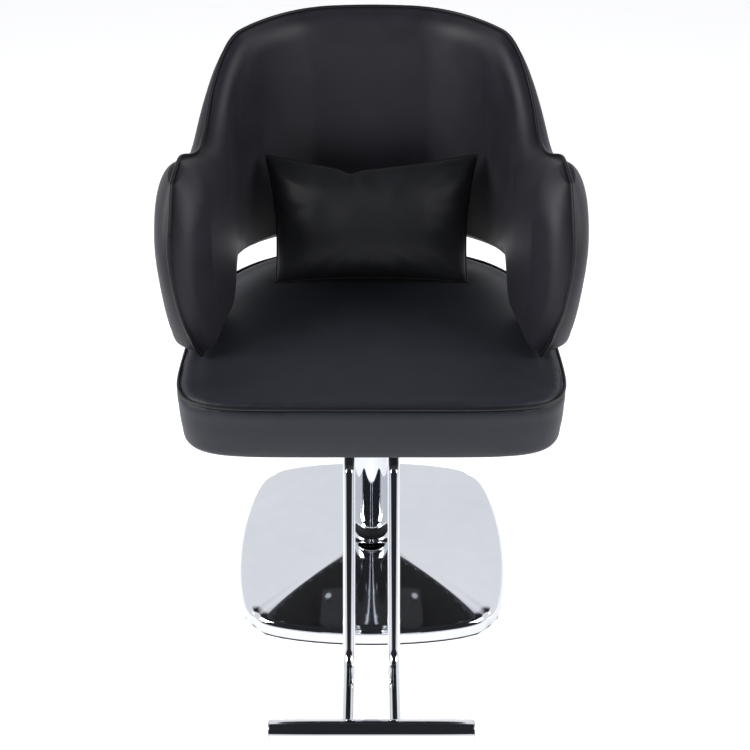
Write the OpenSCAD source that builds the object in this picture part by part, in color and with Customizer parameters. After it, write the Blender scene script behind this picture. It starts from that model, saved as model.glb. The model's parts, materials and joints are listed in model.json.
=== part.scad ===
// Styling chair: a tub seat on a foot-pumped hydraulic column with a square domed base.
// Millimetres, +Z up. The sitter faces -Y. The origin is where the pump axis meets the floor.

/* [Base] */
// Half the width of the square base
base_half = 231; // [190:1:278]
// Sharpness of the corners of the base: 6 is softly rounded, 20 is nearly sharp
base_power = 13; // [6:1:20]
// How far the middle of each side bows out beyond its corners
side_bow = 33; // [10:1:40]
// Height of the domed cover at the pump neck
dome_h = 46; // [38:1:60]
// Height of the fold where the cover turns down into its skirt
fold_h = 28; // [22:1:34]
// How far the fold stands in from the skirt
fold_in = 12; // [6:1:20]
// Sheet thickness of the cover
cover_t = 1.5; // [1:0.1:2]
// Thickness of the steel floor plate
plate_t = 6; // [4:0.5:8]
// Height of the rubber edging under the skirt
edging_h = 3.5; // [2.5:0.5:5]

/* [Pump] */
// Outer radius of the lift cylinder
cylinder_r = 20.5; // [18:0.5:24]
// Bore radius of the lift cylinder
bore_r = 17.5; // [15:0.5:17.5]
// Radius of the ram
ram_r = 12.5; // [10:0.5:12.5]
// Outer radius of the chromed sleeve
sleeve_r = 30.5; // [29:0.5:36]
// Wall of the chromed sleeve
sleeve_t = 1.5; // [1:0.1:1.5]
// Height of the sleeve's lower rim at the lowest seat setting
sleeve_z = 73; // [66:1:90]
// Travel of the lift
lift = 150; // [100:5:160]
// Radial running clearance of the ram, the piston and the spindle
run_fit = 0.05; // [0.02:0.01:0.1]

/* [Pedal] */
// Distance of the pedal's pivot behind the pump axis
pivot_y = 60; // [56:1:72]
// Radius of the pivot pin
pin_r = 4; // [3:0.5:4.5]
// Distance of the foot plate's middle behind the pump axis
pedal_reach = 285; // [270:1:300]
// Height of the lever at the foot plate
pedal_h = 108; // [98:1:112]
// Width of the foot plate
pedal_w = 92; // [76:1:110]
// Depth of the foot plate
pedal_d = 46; // [38:1:54]

/* [Footrest] */
// Outer diameter of the two footrest tubes
tube_d = 18; // [15:0.5:21]
// Distance between the axes of the tubes
tube_gap = 64.4; // [56:0.5:76]
// Wall of the footrest tubes and of the foot bar
tube_wall = 1.5; // [1:0.1:2]
// Distance from the pump axis to the upper bend
bend_y = 216; // [190:1:250]
// Height from the foot bar's axis to the tubes under the seat
foot_drop = 246; // [205:1:255]
// Lean of the sloping stretch from upright, in degrees
foot_lean = 31.6; // [20:0.5:40]
// Distance from the lower bend to the foot bar's axis
foot_run = 122; // [100:1:147]
// Centreline radius of the bends
bend_r = 34; // [26:1:40]
// Length of the foot bar
bar_len = 275; // [230:1:330]
// Diameter of the foot bar
bar_d = 30; // [25:0.5:36]

/* [Seat] */
// Height of the seat's piping at the lowest setting
seat_h = 477; // [400:1:575]
// Half the width of the seat
seat_half = 272; // [225:1:328]
// Distance from the pump axis to the front of the seat
seat_front = 270; // [250:1:300]
// Distance from the pump axis to the rear of the seat
seat_rear = 235; // [205:1:240]
// Height of the boxing, from the underside to the piping
boxing_h = 86; // [72:1:104]
// Rise of the crowned top above the piping
crown = 11; // [4:1:16]
// Thickness of the plywood seat board
board_t = 14; // [10:1:18]
// Thickness of the leatherette
skin_t = 1.2; // [0.8:0.1:1.6]
// Radius of the piping cords
cord_r = 2.4; // [1.8:0.1:3]

/* [Tub shell] */
// Height of the top of the back above the seat's piping
back_rise = 392; // [323:1:471]
// Height of the arm tops above the seat's piping
arm_rise = 275; // [230:1:300]
// Depth of the hollow between the back and an arm
saddle_dip = 25; // [10:1:35]
// Distance from the pump axis to the back's middle surface at the seat
shell_y = 268; // [260:1:290]
// How far the arms' middle surface stands in from the side of the seat
arm_set = 26; // [20:1:34]
// Plan radius of the wrap from the back into the arms
wrap_r = 185; // [160:1:200]
// Lean of the back: run for each unit of height
recline = 0.13; // [0.05:0.01:0.2]
// Length of an arm, from the end of the wrap to its front
arm_run = 272.8; // [226:0.2:307]
// Padding on the inner side of the back
back_pad = 23; // [18:1:32]
// Padding on the inner side of an arm
arm_pad = 40; // [34:1:60]
// Padding on the outer side of the back
outer_pad = 15; // [14:1:26]
// Padding on the outer side of an arm
arm_outer_pad = 33; // [24:1:42]
// Thickness of the moulded plywood core
core_t = 8; // [6:0.5:10]

/* [Pillow] */
// Room from each upper corner of the pillow to the line of the seat's side
pillow_side = 102; // [96:1:130]
// Height of the pillow along its face
pillow_h = 204; // [170:1:214]
// Thickness of the pillow at its middle
pillow_t = 92; // [76:1:104]
// Lean of the pillow from upright, in degrees
pillow_lean = 33; // [28:1:38]

/* [Hidden] */
$fn = 64;

// Gap between pieces that lie side by side
gap = 0.3;
// Overshoot of a cut past the face that it opens
cut = 1;

// --- Heights, from the floor up ---
flange_t = 8;
pump_base_z = plate_t;
neck_top = dome_h + 4.6;
seat_under = seat_h - boxing_h;
rail_h = 20;
seat_plate_t = 6;
seat_plate_z = seat_under - rail_h - seat_plate_t;
foot_plate_t = 5;
tube_z = seat_plate_z - foot_plate_t - tube_d / 2;
bar_z = tube_z - foot_drop;

// --- Pump ---
cylinder_z = plate_t + 16;
hub_h = 34;
washer_t = 2;
shoulder_t = 7;
hub_z = seat_plate_z - hub_h;
washer_z = hub_z - washer_t;
shoulder_z = washer_z - shoulder_t;
cylinder_top = shoulder_z - 8;
gland_h = 20;
piston_h = 18;
stop_gap = 6;
piston_z = cylinder_top - gland_h - stop_gap - lift - piston_h;
spindle_r = ram_r - 1.5;
neck_r = sleeve_r - 1.9;
pump_r = neck_r + 7.4;
flange_r = pump_r + 24;
bolt_circle_r = flange_r - 9;

// --- Pedal ---
hub_r = 9;
lever_w = 12;
lever_depth = 13;
pivot_z = dome_h - cover_t - hub_r - 4.5;
plunger_r = 5;
plunger_z = plate_t + plunger_r + 4;
plunger_len = 34;
nose_r = 5;
cavity_half = lever_w / 2 + 8;
cavity_y = pivot_y - hub_r - 7;
ear_t = 14;
ear_top = dome_h - 8;
crank_y = pivot_y + 32;
crank_z = dome_h + 32;
slot_half = lever_w / 2 + 4;
slot_y = [pivot_y - 7, pivot_y + 33];
spring_r = pin_r + 3;
spring_wire_r = 1.05;

// --- Footrest ---
lower_y = bend_y + foot_drop * tan(foot_lean);
bar_y = lower_y + foot_run;
bend_angle = 90 - foot_lean;
bend_set = bend_r * tan(bend_angle / 2);
tube_start = sleeve_r + 14;
foot_plate_half = tube_gap / 2 + tube_d / 2 + 16;
foot_bolt_x = foot_plate_half - 9;
foot_bolt_y = [-tube_start - 28, -tube_start - 98];
foot_plate_y = [-tube_start - 118, -tube_start - 6];

// --- Seat ---
seat_mid = -60;
rear_power = 2.6;
front_power = 7;
under_round = 14;
board_in = 16;
rail_x = foot_plate_half + 38;
rail_w = 20;
rail_wall = 2;
rail_y = [-tube_start - 108, tube_start + 64];
rail_bolt_y = [rail_y[0] + 22, rail_y[1] - 22];
board_z = seat_under + skin_t;
board_top = board_z + board_t;
bolt_r = 4;
bolt_clear = 0.3;
head_r = 7;
head_h = 5.3;
seam_gap = cord_r + 0.8;

// --- Tub shell ---
back_top = seat_h + back_rise;
arm_top = seat_h + arm_rise;
saddle_z = arm_top - saddle_dip;
// Place of an arm's foot, in from the side of the seat
foot_in = 62;
foot_z = seat_h + top_rise(foot_in) + cord_r + gap;
wrap_angle = 84;
flat_half = seat_half - arm_set - wrap_r * sin(wrap_angle);
wrap_len = wrap_r * wrap_angle * PI / 180;
wrap_end = flat_half + wrap_len;
arm_end = wrap_end + arm_run;
shoulder_s = wrap_end - 111;
saddle_s = wrap_end + 63;
arm_ref = arm_end - 46;
corner_fall = 18;
crown_fall = 16;
corner_run = 60;
belly_h = 98;
belly_up = [170, 67];
belly_down = [95, 26];
lower_side_s = wrap_end + 35;
lower_foot_s = wrap_end + 119;
lower_mid_z = seat_h + 26;
lower_side_z = seat_h + 60;
belly_z = seat_h + belly_h;
tuck_reach = 35;
tuck_top = seat_h + 183;
tuck_bottom = seat_h - 7;
core_gap = 1;
core_in = 52;
seam_w = 1.5;
roll_back = 34;
roll_arm = 58;
roll_foot = 12;
roll_nose = 26;
nose_h = 120;
// Shares of the tuck that the inner padding gives up and the outer padding takes on
inner_tuck = 0.7;
belly_fill = 0.25;

// --- Arm brackets ---
strap_t = 4;
strap_w = 40;
strap_y = -76;
// The strap's rear edge clears the piping, which runs at the arm's heading
strap_x = mid_point(arm_s(strap_y), foot_z)[0] - cord_r - 2 * gap - strap_w / 2 / tan(wrap_angle);
strap_top = seat_h + 130;
strap_foot = 34;
screw_r = 3;
screw_head = 3;
screw_z = [seat_h + 76, seat_h + 112];

// --- Pillow ---
pillow_w = 2 * (seat_half - pillow_side);
pillow_y = shell_y - 137;
pillow_z = seat_h + 103;
pillow_edge = 4;
pillow_in = 0.972;

// Sum of absolute powers, the heart of the rounded square
function power_norm(x, y, p) = pow(pow(abs(x), p) + pow(abs(y), p), 1 / p);
function smooth(t) = let (k = min(1, max(0, t))) k * k * (3 - 2 * k);
function mix(a, b, t) = a + (b - a) * t;

// Closed ring of points on a rounded square of half-width half at height z
function square_r(half, p, a) = let (r = 1 / power_norm(cos(a), sin(a), p), q = min(abs(cos(a)), abs(sin(a))) * r)
    half * r * (1 - side_bow / base_half * min(1, (p - 2) / (base_power - 2)) * q * q);
function square_ring(half, p, z, n = 64) =
    [for (i = [0:n - 1]) let (a = 360 * i / n, r = square_r(half, p, a)) [r * cos(a), r * sin(a), z]];

// Seat outline: a squarer power in front of the widest line than behind it
function seat_ring(inset, z, n = 64) =
    [for (i = [0:n - 1]) let (a = 360 * i / n, c = cos(a), s = sin(a),
        ax = seat_half - inset,
        ay = (s < 0 ? seat_front + seat_mid : seat_rear - seat_mid) - inset,
        p = s < 0 ? front_power : rear_power,
        r = 1 / power_norm(c / ax, s / ay, p))
        [r * c, seat_mid + r * s, z]];

// Solid through a list of rings, closed by a cap at each end
module capped(rings) {
    n = len(rings[0]);
    m = len(rings);
    points = [for (r = rings) each r];
    sides = [for (j = [0:m - 2]) for (i = [0:n - 1]) let (k = (i + 1) % n)
        each [[j * n + i, (j + 1) * n + k, j * n + k], [j * n + i, (j + 1) * n + i, (j + 1) * n + k]]];
    polyhedron(points, concat(sides, [[for (i = [0:n - 1]) i]], [[for (i = [n - 1:-1:0]) (m - 1) * n + i]]));
}

// Solid whose rings close on themselves, like a tyre
module looped(rings) {
    n = len(rings[0]);
    m = len(rings);
    points = [for (r = rings) each r];
    polyhedron(points, [for (j = [0:m - 1]) for (i = [0:n - 1]) let (k = (i + 1) % n, l = (j + 1) % m)
        each [[j * n + i, l * n + k, j * n + k], [j * n + i, l * n + i, l * n + k]]]);
}

// Slab between two equal grids of points, closed round its four edges
module slab(front, back) {
    rows = len(front);
    cols = len(front[0]);
    size = rows * cols;
    points = concat([for (r = front) each r], [for (r = back) each r]);
    skins = [for (i = [0:rows - 2]) for (j = [0:cols - 2]) let (a = i * cols + j, b = a + 1, c = a + cols, d = c + 1)
        each [[a, b, d], [a, d, c], [size + a, size + d, size + b], [size + a, size + c, size + d]]];
    rim = concat([for (j = [0:cols - 1]) j], [for (i = [1:rows - 1]) i * cols + cols - 1],
        [for (j = [cols - 2:-1:0]) (rows - 1) * cols + j], [for (i = [rows - 2:-1:1]) i * cols]);
    edge = [for (k = [0:len(rim) - 1]) let (a = rim[k], b = rim[(k + 1) % len(rim)])
        each [[b, a, size + a], [b, size + a, size + b]]];
    polyhedron(points, concat(skins, edge));
}

// Round cord along a closed path
module cord(path, r, sides = 6) {
    n = len(path);
    rings = [for (i = [0:n - 1])
        let (t = path[(i + 1) % n] - path[(i + n - 1) % n], d = t / norm(t),
            up = abs(d[2]) > 0.9 ? [0, 1, 0] : [0, 0, 1], x = cross(d, up), u = x / norm(x), v = cross(d, u))
        [for (k = [0:sides - 1]) path[i] + r * (cos(360 * k / sides) * u + sin(360 * k / sides) * v)]];
    looped(rings);
}

// ---------------------------------------------------------------- base

function cover_z(share) = mix(dome_h, fold_h, share);
function cover_power(share) = mix(2, base_power, smooth(share * 5));
// Rings of the cover's skin, from the neck down to the skirt's edge, set in by t
function cover_rings(t) =
    let (inner = neck_r + gap * 2, fold = base_half - fold_in)
    concat([for (k = [0, 0.06, 0.14, 0.28, 0.5, 0.75, 0.94])
            square_ring(mix(inner, fold, k), cover_power(k), cover_z(k) - t)],
        [for (a = [25, 50, 75]) square_ring(fold + (fold_in - t) * sin(a), base_power,
            fold_h - t - (fold_h - t) * 0.5 * (1 - cos(a)))],
        [square_ring(base_half - t, base_power, edging_h)]);

module base_plate() color("#3a3c40") difference() {
    linear_extrude(plate_t) polygon([for (p = square_ring(base_half - 5.5, base_power, 0)) [p[0], p[1]]]);
    for (a = [45:90:315]) rotate(a) translate([bolt_circle_r, 0, -cut]) cylinder(r = bolt_r + bolt_clear, h = plate_t + 2 * cut);
}

module base_edging() color("#1c1c1e") {
    inner = base_half - 5.5 + gap;
    looped([square_ring(inner, base_power, 0), square_ring(base_half, base_power, 0),
        square_ring(base_half, base_power, edging_h - 0.05), square_ring(inner, base_power, edging_h - 0.05)]);
}

module base_cover() color("#d9dce2") difference() {
    outer = cover_rings(0);
    inner = cover_rings(cover_t);
    looped([each [for (k = [len(outer) - 1:-1:0]) outer[k]], each inner]);
    translate([-slot_half, slot_y[0], fold_h - 10]) cube([2 * slot_half, slot_y[1] - slot_y[0], dome_h]);
}

// Angle pieces that tie the cover's skirt to the floor plate
module cover_brackets() color("#4a4c50")
    for (a = [45:90:315]) rotate(a) {
        reach = square_r(base_half - cover_t, base_power, 45) - 7;
        translate([reach - 26, -14, plate_t + 0.05]) cube([26, 28, 3]);
        translate([reach - 3, -14, plate_t + 0.05]) cube([3, 28, 8]);
    }

// ---------------------------------------------------------------- pump

module pump_body() color("#2c2d30") difference() {
    union() {
        translate([0, 0, pump_base_z]) cylinder(r = flange_r, h = flange_t);
        translate([0, 0, pump_base_z]) cylinder(r = pump_r, h = dome_h - 6 - pump_base_z);
        translate([0, 0, pump_base_z]) cylinder(r = neck_r, h = neck_top - pump_base_z);
        translate([-cavity_half - ear_t, 0, pump_base_z])
            cube([2 * (cavity_half + ear_t), pivot_y + hub_r + 2, ear_top - pump_base_z]);
    }
    translate([0, 0, cylinder_z]) cylinder(r = cylinder_r + 0.02, h = neck_top);
    translate([-cavity_half, cavity_y, plate_t + 2]) cube([2 * cavity_half, flange_r, dome_h]);
    translate([0, cavity_y - plunger_len - 4, plunger_z]) rotate([-90, 0, 0])
        cylinder(r = plunger_r + run_fit, h = flange_r);
    translate([-cavity_half - ear_t - cut, pivot_y, pivot_z]) rotate([0, 90, 0])
        cylinder(r = pin_r + 0.02, h = 2 * (cavity_half + ear_t + cut));
    for (a = [45:90:315]) rotate(a) translate([bolt_circle_r, 0, -cut])
        cylinder(r = bolt_r + bolt_clear, h = pump_base_z + flange_t + 2 * cut);
}

module bolt(length, up = 1) {
    mirror([0, 0, up > 0 ? 0 : 1]) {
        cylinder(r = bolt_r, h = length);
        translate([0, 0, -head_h]) cylinder(r = head_r, h = head_h, $fn = 6);
    }
}

module pump_bolts() color("#9a9ca0")
    for (a = [45:90:315]) rotate(a) translate([bolt_circle_r, 0, pump_base_z + flange_t + 0.05])
        bolt(flange_t + plate_t - 1, -1);

module lift_cylinder() color("#8d9094") difference() {
    translate([0, 0, cylinder_z + 0.05]) cylinder(r = cylinder_r, h = cylinder_top - cylinder_z);
    translate([0, 0, cylinder_z + 5]) cylinder(r = bore_r, h = cylinder_top);
}

module cylinder_gland() color("#b08d4a") difference() {
    translate([0, 0, cylinder_top - gland_h]) cylinder(r = bore_r - 0.02, h = gland_h);
    translate([0, 0, cylinder_top - gland_h - cut]) cylinder(r = ram_r + run_fit, h = gland_h + 2 * cut);
}

module dust_cone() color("#202124") difference() {
    translate([0, 0, neck_top + 0.05]) cylinder(r1 = cylinder_r + 4.7, r2 = cylinder_r + 1, h = sleeve_z + 5 - neck_top);
    translate([0, 0, neck_top - cut]) cylinder(r = cylinder_r + 0.05, h = sleeve_z);
}

module pedal_pin() color("#8d9094") translate([-cavity_half - ear_t - 2, pivot_y, pivot_z]) rotate([0, 90, 0])
    cylinder(r = pin_r, h = 2 * (cavity_half + ear_t + 2));

// Torsion springs: three turns each side of the lever's hub
module pedal_spring() color("#55575a")
    for (side = [-1, 1]) for (turn = [0:2])
        translate([side * (lever_w / 2 + 2 + 2 * turn), pivot_y, pivot_z]) rotate([0, 90, 0])
            rotate_extrude() translate([spring_r, 0]) circle(r = spring_wire_r, $fn = 16);

module ram() color("#c9ccd1") {
    translate([0, 0, piston_z + 4]) cylinder(r = ram_r, h = shoulder_z - piston_z - 4);
    translate([0, 0, shoulder_z]) cylinder(r = bore_r, h = shoulder_t);
    translate([0, 0, washer_z]) cylinder(r = spindle_r, h = washer_t + hub_h - 1);
}

module ram_piston() color("#8d9094") difference() {
    translate([0, 0, piston_z]) cylinder(r = bore_r - run_fit, h = piston_h);
    translate([0, 0, piston_z + 4]) cylinder(r = ram_r, h = piston_h);
    translate([0, 0, piston_z + 7]) difference() {
        cylinder(r = bore_r + cut, h = 4);
        translate([0, 0, -cut]) cylinder(r = bore_r - 2, h = 4 + 2 * cut);
    }
}

module piston_seal() color("#1c1c1e") translate([0, 0, piston_z + 7.1]) difference() {
    cylinder(r = bore_r - 0.02, h = 3.8);
    translate([0, 0, -cut]) cylinder(r = bore_r - 1.95, h = 4 + 2 * cut);
}

module thrust_washer() color("#b08d4a") difference() {
    translate([0, 0, washer_z + 0.02]) cylinder(r = bore_r - 1, h = washer_t - 0.04);
    translate([0, 0, washer_z - cut]) cylinder(r = spindle_r + 0.1, h = washer_t + 2 * cut);
}

// ---------------------------------------------------------------- pedal

module lever_link(a, b, d) hull() {
    translate(a) circle(d = d, $fn = 32);
    translate(b) circle(d = d, $fn = 32);
}

module pedal_lever() color("#c9ccd1") rotate([90, 0, 90]) difference() {
    linear_extrude(lever_w, center = true) {
        translate([pivot_y, pivot_z]) circle(r = hub_r);
        lever_link([pivot_y - hub_r + nose_r, plunger_z], [pivot_y, pivot_z], 2 * nose_r);
        lever_link([pivot_y, pivot_z], [crank_y, crank_z], lever_depth);
        lever_link([crank_y, crank_z], [pedal_reach + pedal_d / 4, pedal_h], lever_depth);
    }
    translate([pivot_y, pivot_z, -lever_w]) cylinder(r = pin_r + run_fit, h = 2 * lever_w);
}

pedal_angle = atan2(pedal_h - crank_z, pedal_reach + pedal_d / 4 - crank_y);
pedal_base = lever_depth / 2;
pedal_t = 3;
pedal_pad_t = 7;

module on_pedal() translate([0, pedal_reach, pedal_h - (pedal_d / 4) * tan(pedal_angle)])
    rotate([pedal_angle, 0, 0]) children();

module pedal_plate() color("#c9ccd1") on_pedal() translate([0, 0, pedal_base + 0.02])
    linear_extrude(pedal_t) offset(6, $fn = 24) square([pedal_w - 12, pedal_d - 12], center = true);

module pedal_pad() color("#1c1c1e") on_pedal() translate([0, 0, pedal_base + pedal_t + 0.05]) {
    linear_extrude(pedal_pad_t - 2) offset(6, $fn = 24) square([pedal_w - 12, pedal_d - 12], center = true);
    for (k = [-3:3]) translate([0, k * pedal_d / 8, pedal_pad_t - 2.5])
        translate([-pedal_w / 2 + 7, -1.6, 0]) cube([pedal_w - 14, 3.2, 2.5]);
}

module plunger() color("#8d9094") translate([0, pivot_y - hub_r - gap - plunger_len, plunger_z])
    rotate([-90, 0, 0]) cylinder(r = plunger_r, h = plunger_len);

// ---------------------------------------------------------------- column top and seat frame

module sleeve() color("#d9dce2") translate([0, 0, sleeve_z]) difference() {
    cylinder(r = sleeve_r, h = seat_plate_z - sleeve_z - 0.05);
    translate([0, 0, -cut]) cylinder(r = sleeve_r - sleeve_t, h = seat_plate_z);
}

module swivel_hub() color("#4a4c50") translate([0, 0, hub_z]) difference() {
    cylinder(r = sleeve_r - sleeve_t - 0.5, h = hub_h - 0.05);
    translate([0, 0, -cut]) cylinder(r = spindle_r + run_fit, h = hub_h + 2 * cut);
}

module seat_plate() color("#2c2d30") difference() {
    translate([-rail_x - rail_w / 2 - 4, rail_y[0], seat_plate_z])
        cube([2 * rail_x + rail_w + 8, rail_y[1] - rail_y[0], seat_plate_t]);
    for (x = [-rail_x, rail_x], y = rail_bolt_y) translate([x, y, seat_plate_z - cut])
        cylinder(r = bolt_r + bolt_clear, h = seat_plate_t + 2 * cut);
    for (x = [-foot_bolt_x, foot_bolt_x], y = foot_bolt_y) translate([x, y, seat_plate_z - cut])
        cylinder(r = bolt_r + bolt_clear, h = seat_plate_t + 2 * cut);
}

module seat_rail(side) color("#2c2d30") difference() {
    translate([side * rail_x - rail_w / 2, rail_y[0] + 4, seat_plate_z + seat_plate_t + 0.02])
        cube([rail_w, rail_y[1] - rail_y[0] - 8, rail_h - 0.04]);
    translate([side * rail_x - rail_w / 2 + rail_wall, rail_y[0], seat_plate_z + seat_plate_t + rail_wall])
        cube([rail_w - 2 * rail_wall, rail_y[1] - rail_y[0], rail_h - 2 * rail_wall]);
    for (y = rail_bolt_y) translate([side * rail_x, y, seat_plate_z])
        cylinder(r = bolt_r + bolt_clear, h = rail_h + seat_plate_t + 2 * cut);
}

module rail_bolts() color("#9a9ca0")
    for (x = [-rail_x, rail_x], y = rail_bolt_y) translate([x, y, seat_plate_z - 0.05])
        bolt(seat_plate_t + rail_h + skin_t + board_t - 2);

// ---------------------------------------------------------------- footrest

module footrest_plate() color("#2c2d30") difference() {
    translate([-foot_plate_half, foot_plate_y[0], seat_plate_z - foot_plate_t])
        cube([2 * foot_plate_half, foot_plate_y[1] - foot_plate_y[0], foot_plate_t - 0.02]);
    for (x = [-foot_bolt_x, foot_bolt_x], y = foot_bolt_y) translate([x, y, seat_plate_z - foot_plate_t - cut])
        cylinder(r = bolt_r + bolt_clear, h = foot_plate_t + 2 * cut);
}

module footrest_bolts() color("#9a9ca0")
    for (x = [-foot_bolt_x, foot_bolt_x], y = foot_bolt_y) {
        translate([x, y, seat_plate_z - foot_plate_t - 0.05]) bolt(foot_plate_t + seat_plate_t + 9);
        translate([x, y, seat_plate_z + seat_plate_t + 0.05]) cylinder(r = head_r, h = 6.5, $fn = 6);
    }

// Centreline of a footrest tube in the plane Y-Z, as [y, z, angle below level]
tube_steps = 6;
tube_path = concat([[-tube_start, 0, 0]],
    [for (i = [0:tube_steps]) let (a = bend_angle * i / tube_steps)
        [bend_set - bend_y - bend_r * sin(a), bend_r * (cos(a) - 1), a]],
    [for (i = [tube_steps:-1:0]) let (a = bend_angle * i / tube_steps)
        [bend_r * sin(a) - lower_y - bend_set, bend_r * (1 - cos(a)) - foot_drop, a]],
    [[-bar_y, -foot_drop, 0]]);

function tube_rings(r, n = 20) = [for (q = tube_path) [for (i = [0:n - 1])
    let (c = r * cos(360 * i / n), s = r * sin(360 * i / n)) [c, q[0] - s * sin(q[2]), q[1] + s * cos(q[2])]]];

module footrest_tube(side) color("#d9dce2") difference() {
    inner = tube_rings(tube_d / 2 - tube_wall);
    translate([side * tube_gap / 2, 0, tube_z - 0.02])
        looped(concat(tube_rings(tube_d / 2), [for (k = [len(inner) - 1:-1:0]) inner[k]]));
    translate([-bar_len / 2, -bar_y, bar_z]) rotate([0, 90, 0]) cylinder(d = bar_d + 0.04, h = bar_len);
}

module foot_bar() color("#d9dce2") translate([-bar_len / 2, -bar_y, bar_z]) rotate([0, 90, 0]) difference() {
    cylinder(d = bar_d, h = bar_len);
    translate([0, 0, -cut]) cylinder(d = bar_d - 2 * tube_wall, h = bar_len + 2 * cut);
}

module bar_caps() color("#b9bcc2") for (side = [-1, 1])
    translate([side * bar_len / 2, -bar_y, bar_z]) rotate([0, 90 * side, 0]) {
        translate([0, 0, -8]) cylinder(d = bar_d - 2 * tube_wall - 0.1, h = 8.02);
        translate([0, 0, 0.02]) cylinder(d = bar_d - 1, h = 1.5);
    }

// ---------------------------------------------------------------- seat cushion

// Rings of the cushion's skin from the underside up to the piping, set in by t
function boxing_rings(t) = concat(
    [seat_ring(under_round + 8 + t, seat_under + t)],
    [for (a = [0, 30, 60, 90]) seat_ring(under_round * (1 - sin(a)) + t, seat_under + under_round + (t - under_round) * cos(a))],
    [seat_ring(t - 1.5, seat_under + boxing_h * 0.55), seat_ring(t, seat_h - 12), seat_ring(t + 2, seat_h - seam_gap)]);

// Height of the crowned top above the piping at d in from the outline
function top_rise(d) = seam_gap / 2 + crown * (1 - pow(1 - d / 200, 3));
// Rings of the crowned top from the piping to the centre, lowered by t
function top_rings(t) = [for (d = [6, 16, 36, 72, 130, 190]) seat_ring(d, seat_h + top_rise(d) - t)];

module arm_slots(low, high) for (side = [-1, 1])
    translate([side * (strap_x - strap_t / 2) - strap_t / 2 - gap, strap_y - strap_w / 2 - gap, low])
        cube([strap_t + 2 * gap, strap_w + 2 * gap, high - low]);

module seat_board() color("#b58b5a") difference() {
    translate([0, 0, board_z]) linear_extrude(board_t) polygon([for (p = seat_ring(board_in, 0)) [p[0], p[1]]]);
    for (x = [-rail_x, rail_x], y = rail_bolt_y) translate([x, y, board_z - cut])
        cylinder(r = bolt_r + bolt_clear, h = board_t + 2 * cut);
    bracket_holes(board_z - cut, board_t + 2 * cut);
}

module seat_foam() color("#c9b98a") difference() {
    capped(concat([seat_ring(skin_t + gap, board_top + gap)],
        [seat_ring(skin_t + gap, seat_h - 12), seat_ring(skin_t + gap + 2, seat_h - seam_gap)],
        top_rings(skin_t + gap)));
    arm_slots(board_top, seat_h + crown + 2 * cut);
    for (side = [-1, 1]) translate([side * (strap_x - strap_t) - (side > 0 ? strap_foot : 0) - gap,
        strap_y - strap_w / 2 - gap, board_top]) cube([strap_foot + 2 * gap, strap_w + 2 * gap, strap_t + 12]);
    for (x = [-rail_x, rail_x], y = rail_bolt_y) translate([x, y, board_top - cut]) cylinder(r = head_r, h = 4);
}

module seat_top_panel() color("#26262a") difference() {
    inner = top_rings(skin_t);
    capped(concat([for (k = [len(inner) - 1:-1:0]) inner[k]], top_rings(0)));
    arm_slots(seat_h - crown, seat_h + 2 * crown);
}

module seat_boxing() color("#2c2d33") {
    outer = boxing_rings(0);
    inner = boxing_rings(skin_t);
    looped(concat([for (k = [len(inner) - 1:-1:0]) inner[k]], outer));
}

module seat_piping() color("#1b1b1f") cord([for (p = seat_ring(2, seat_h, 72)) p], cord_r);

module dust_cover() color("#19191b") difference() {
    translate([0, 0, seat_under - 1]) linear_extrude(0.9)
        polygon([for (p = seat_ring(board_in + 8, 0)) [p[0], p[1]]]);
    for (side = [-1, 1]) translate([side * rail_x - rail_w / 2 - cut, rail_y[0], seat_under - 2 * cut])
        cube([rail_w + 2 * cut, rail_y[1] - rail_y[0], 4 * cut]);
    for (side = [-1, 1]) for (dy = [-1, 1]) translate([side * bracket_bolt_x, strap_y + dy * strap_w / 4, seat_under - 2 * cut])
        cylinder(r = head_r + cut, h = 4 * cut);
}

// ---------------------------------------------------------------- arm brackets

bracket_bolt_x = strap_x - strap_t - strap_foot / 2 + 4;

module bracket_holes(z, h) for (side = [-1, 1]) for (dy = [-1, 1])
    translate([side * bracket_bolt_x, strap_y + dy * strap_w / 4, z]) cylinder(r = bolt_r + bolt_clear, h = h);

// Steel strap that stands on the seat board and runs up inside an arm
module arm_bracket(side) color("#4a4c50") mirror([side > 0 ? 0 : 1, 0, 0]) difference() {
    union() {
        translate([strap_x - strap_t, strap_y - strap_w / 2, board_top + 0.05])
            cube([strap_t, strap_w, strap_top - board_top]);
        translate([strap_x - strap_foot, strap_y - strap_w / 2, board_top + 0.05])
            cube([strap_foot, strap_w, strap_t]);
    }
    bracket_holes(board_top - cut, strap_t + 2 * cut);
    for (z = screw_z) translate([strap_x - 2 * strap_t, strap_y, z]) rotate([0, 90, 0]) {
        cylinder(r = screw_r + bolt_clear, h = 4 * strap_t);
        translate([0, 0, strap_t - gap]) cylinder(r1 = 2 * screw_r + 2 * gap, r2 = screw_r + bolt_clear, h = screw_head + gap);
    }
}

module bracket_bolts() color("#9a9ca0") for (side = [-1, 1]) for (dy = [-1, 1])
    translate([side * bracket_bolt_x, strap_y + dy * strap_w / 4, 0]) {
        translate([0, 0, seat_under - 0.05]) bolt(skin_t + board_t + strap_t + 6);
        translate([0, 0, board_top + strap_t + 0.1]) cylinder(r = head_r, h = 5, $fn = 6);
    }

// Screws that join the core to the strap, across the arm's padding
module arm_screws() color("#9a9ca0") for (side = [-1, 1]) for (z = screw_z)
    mirror([side > 0 ? 0 : 1, 0, 0]) translate([strap_x - strap_t, strap_y, z]) rotate([0, 90, 0]) {
        translate([0, 0, 0.05]) cylinder(r1 = 2 * screw_r, r2 = screw_r, h = screw_head);
        translate([0, 0, 0.05]) cylinder(r = screw_r, h = mid_point(arm_s(strap_y), z)[0] - strap_x + strap_t + core_t / 2);
    }

// ---------------------------------------------------------------- tub shell

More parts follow.
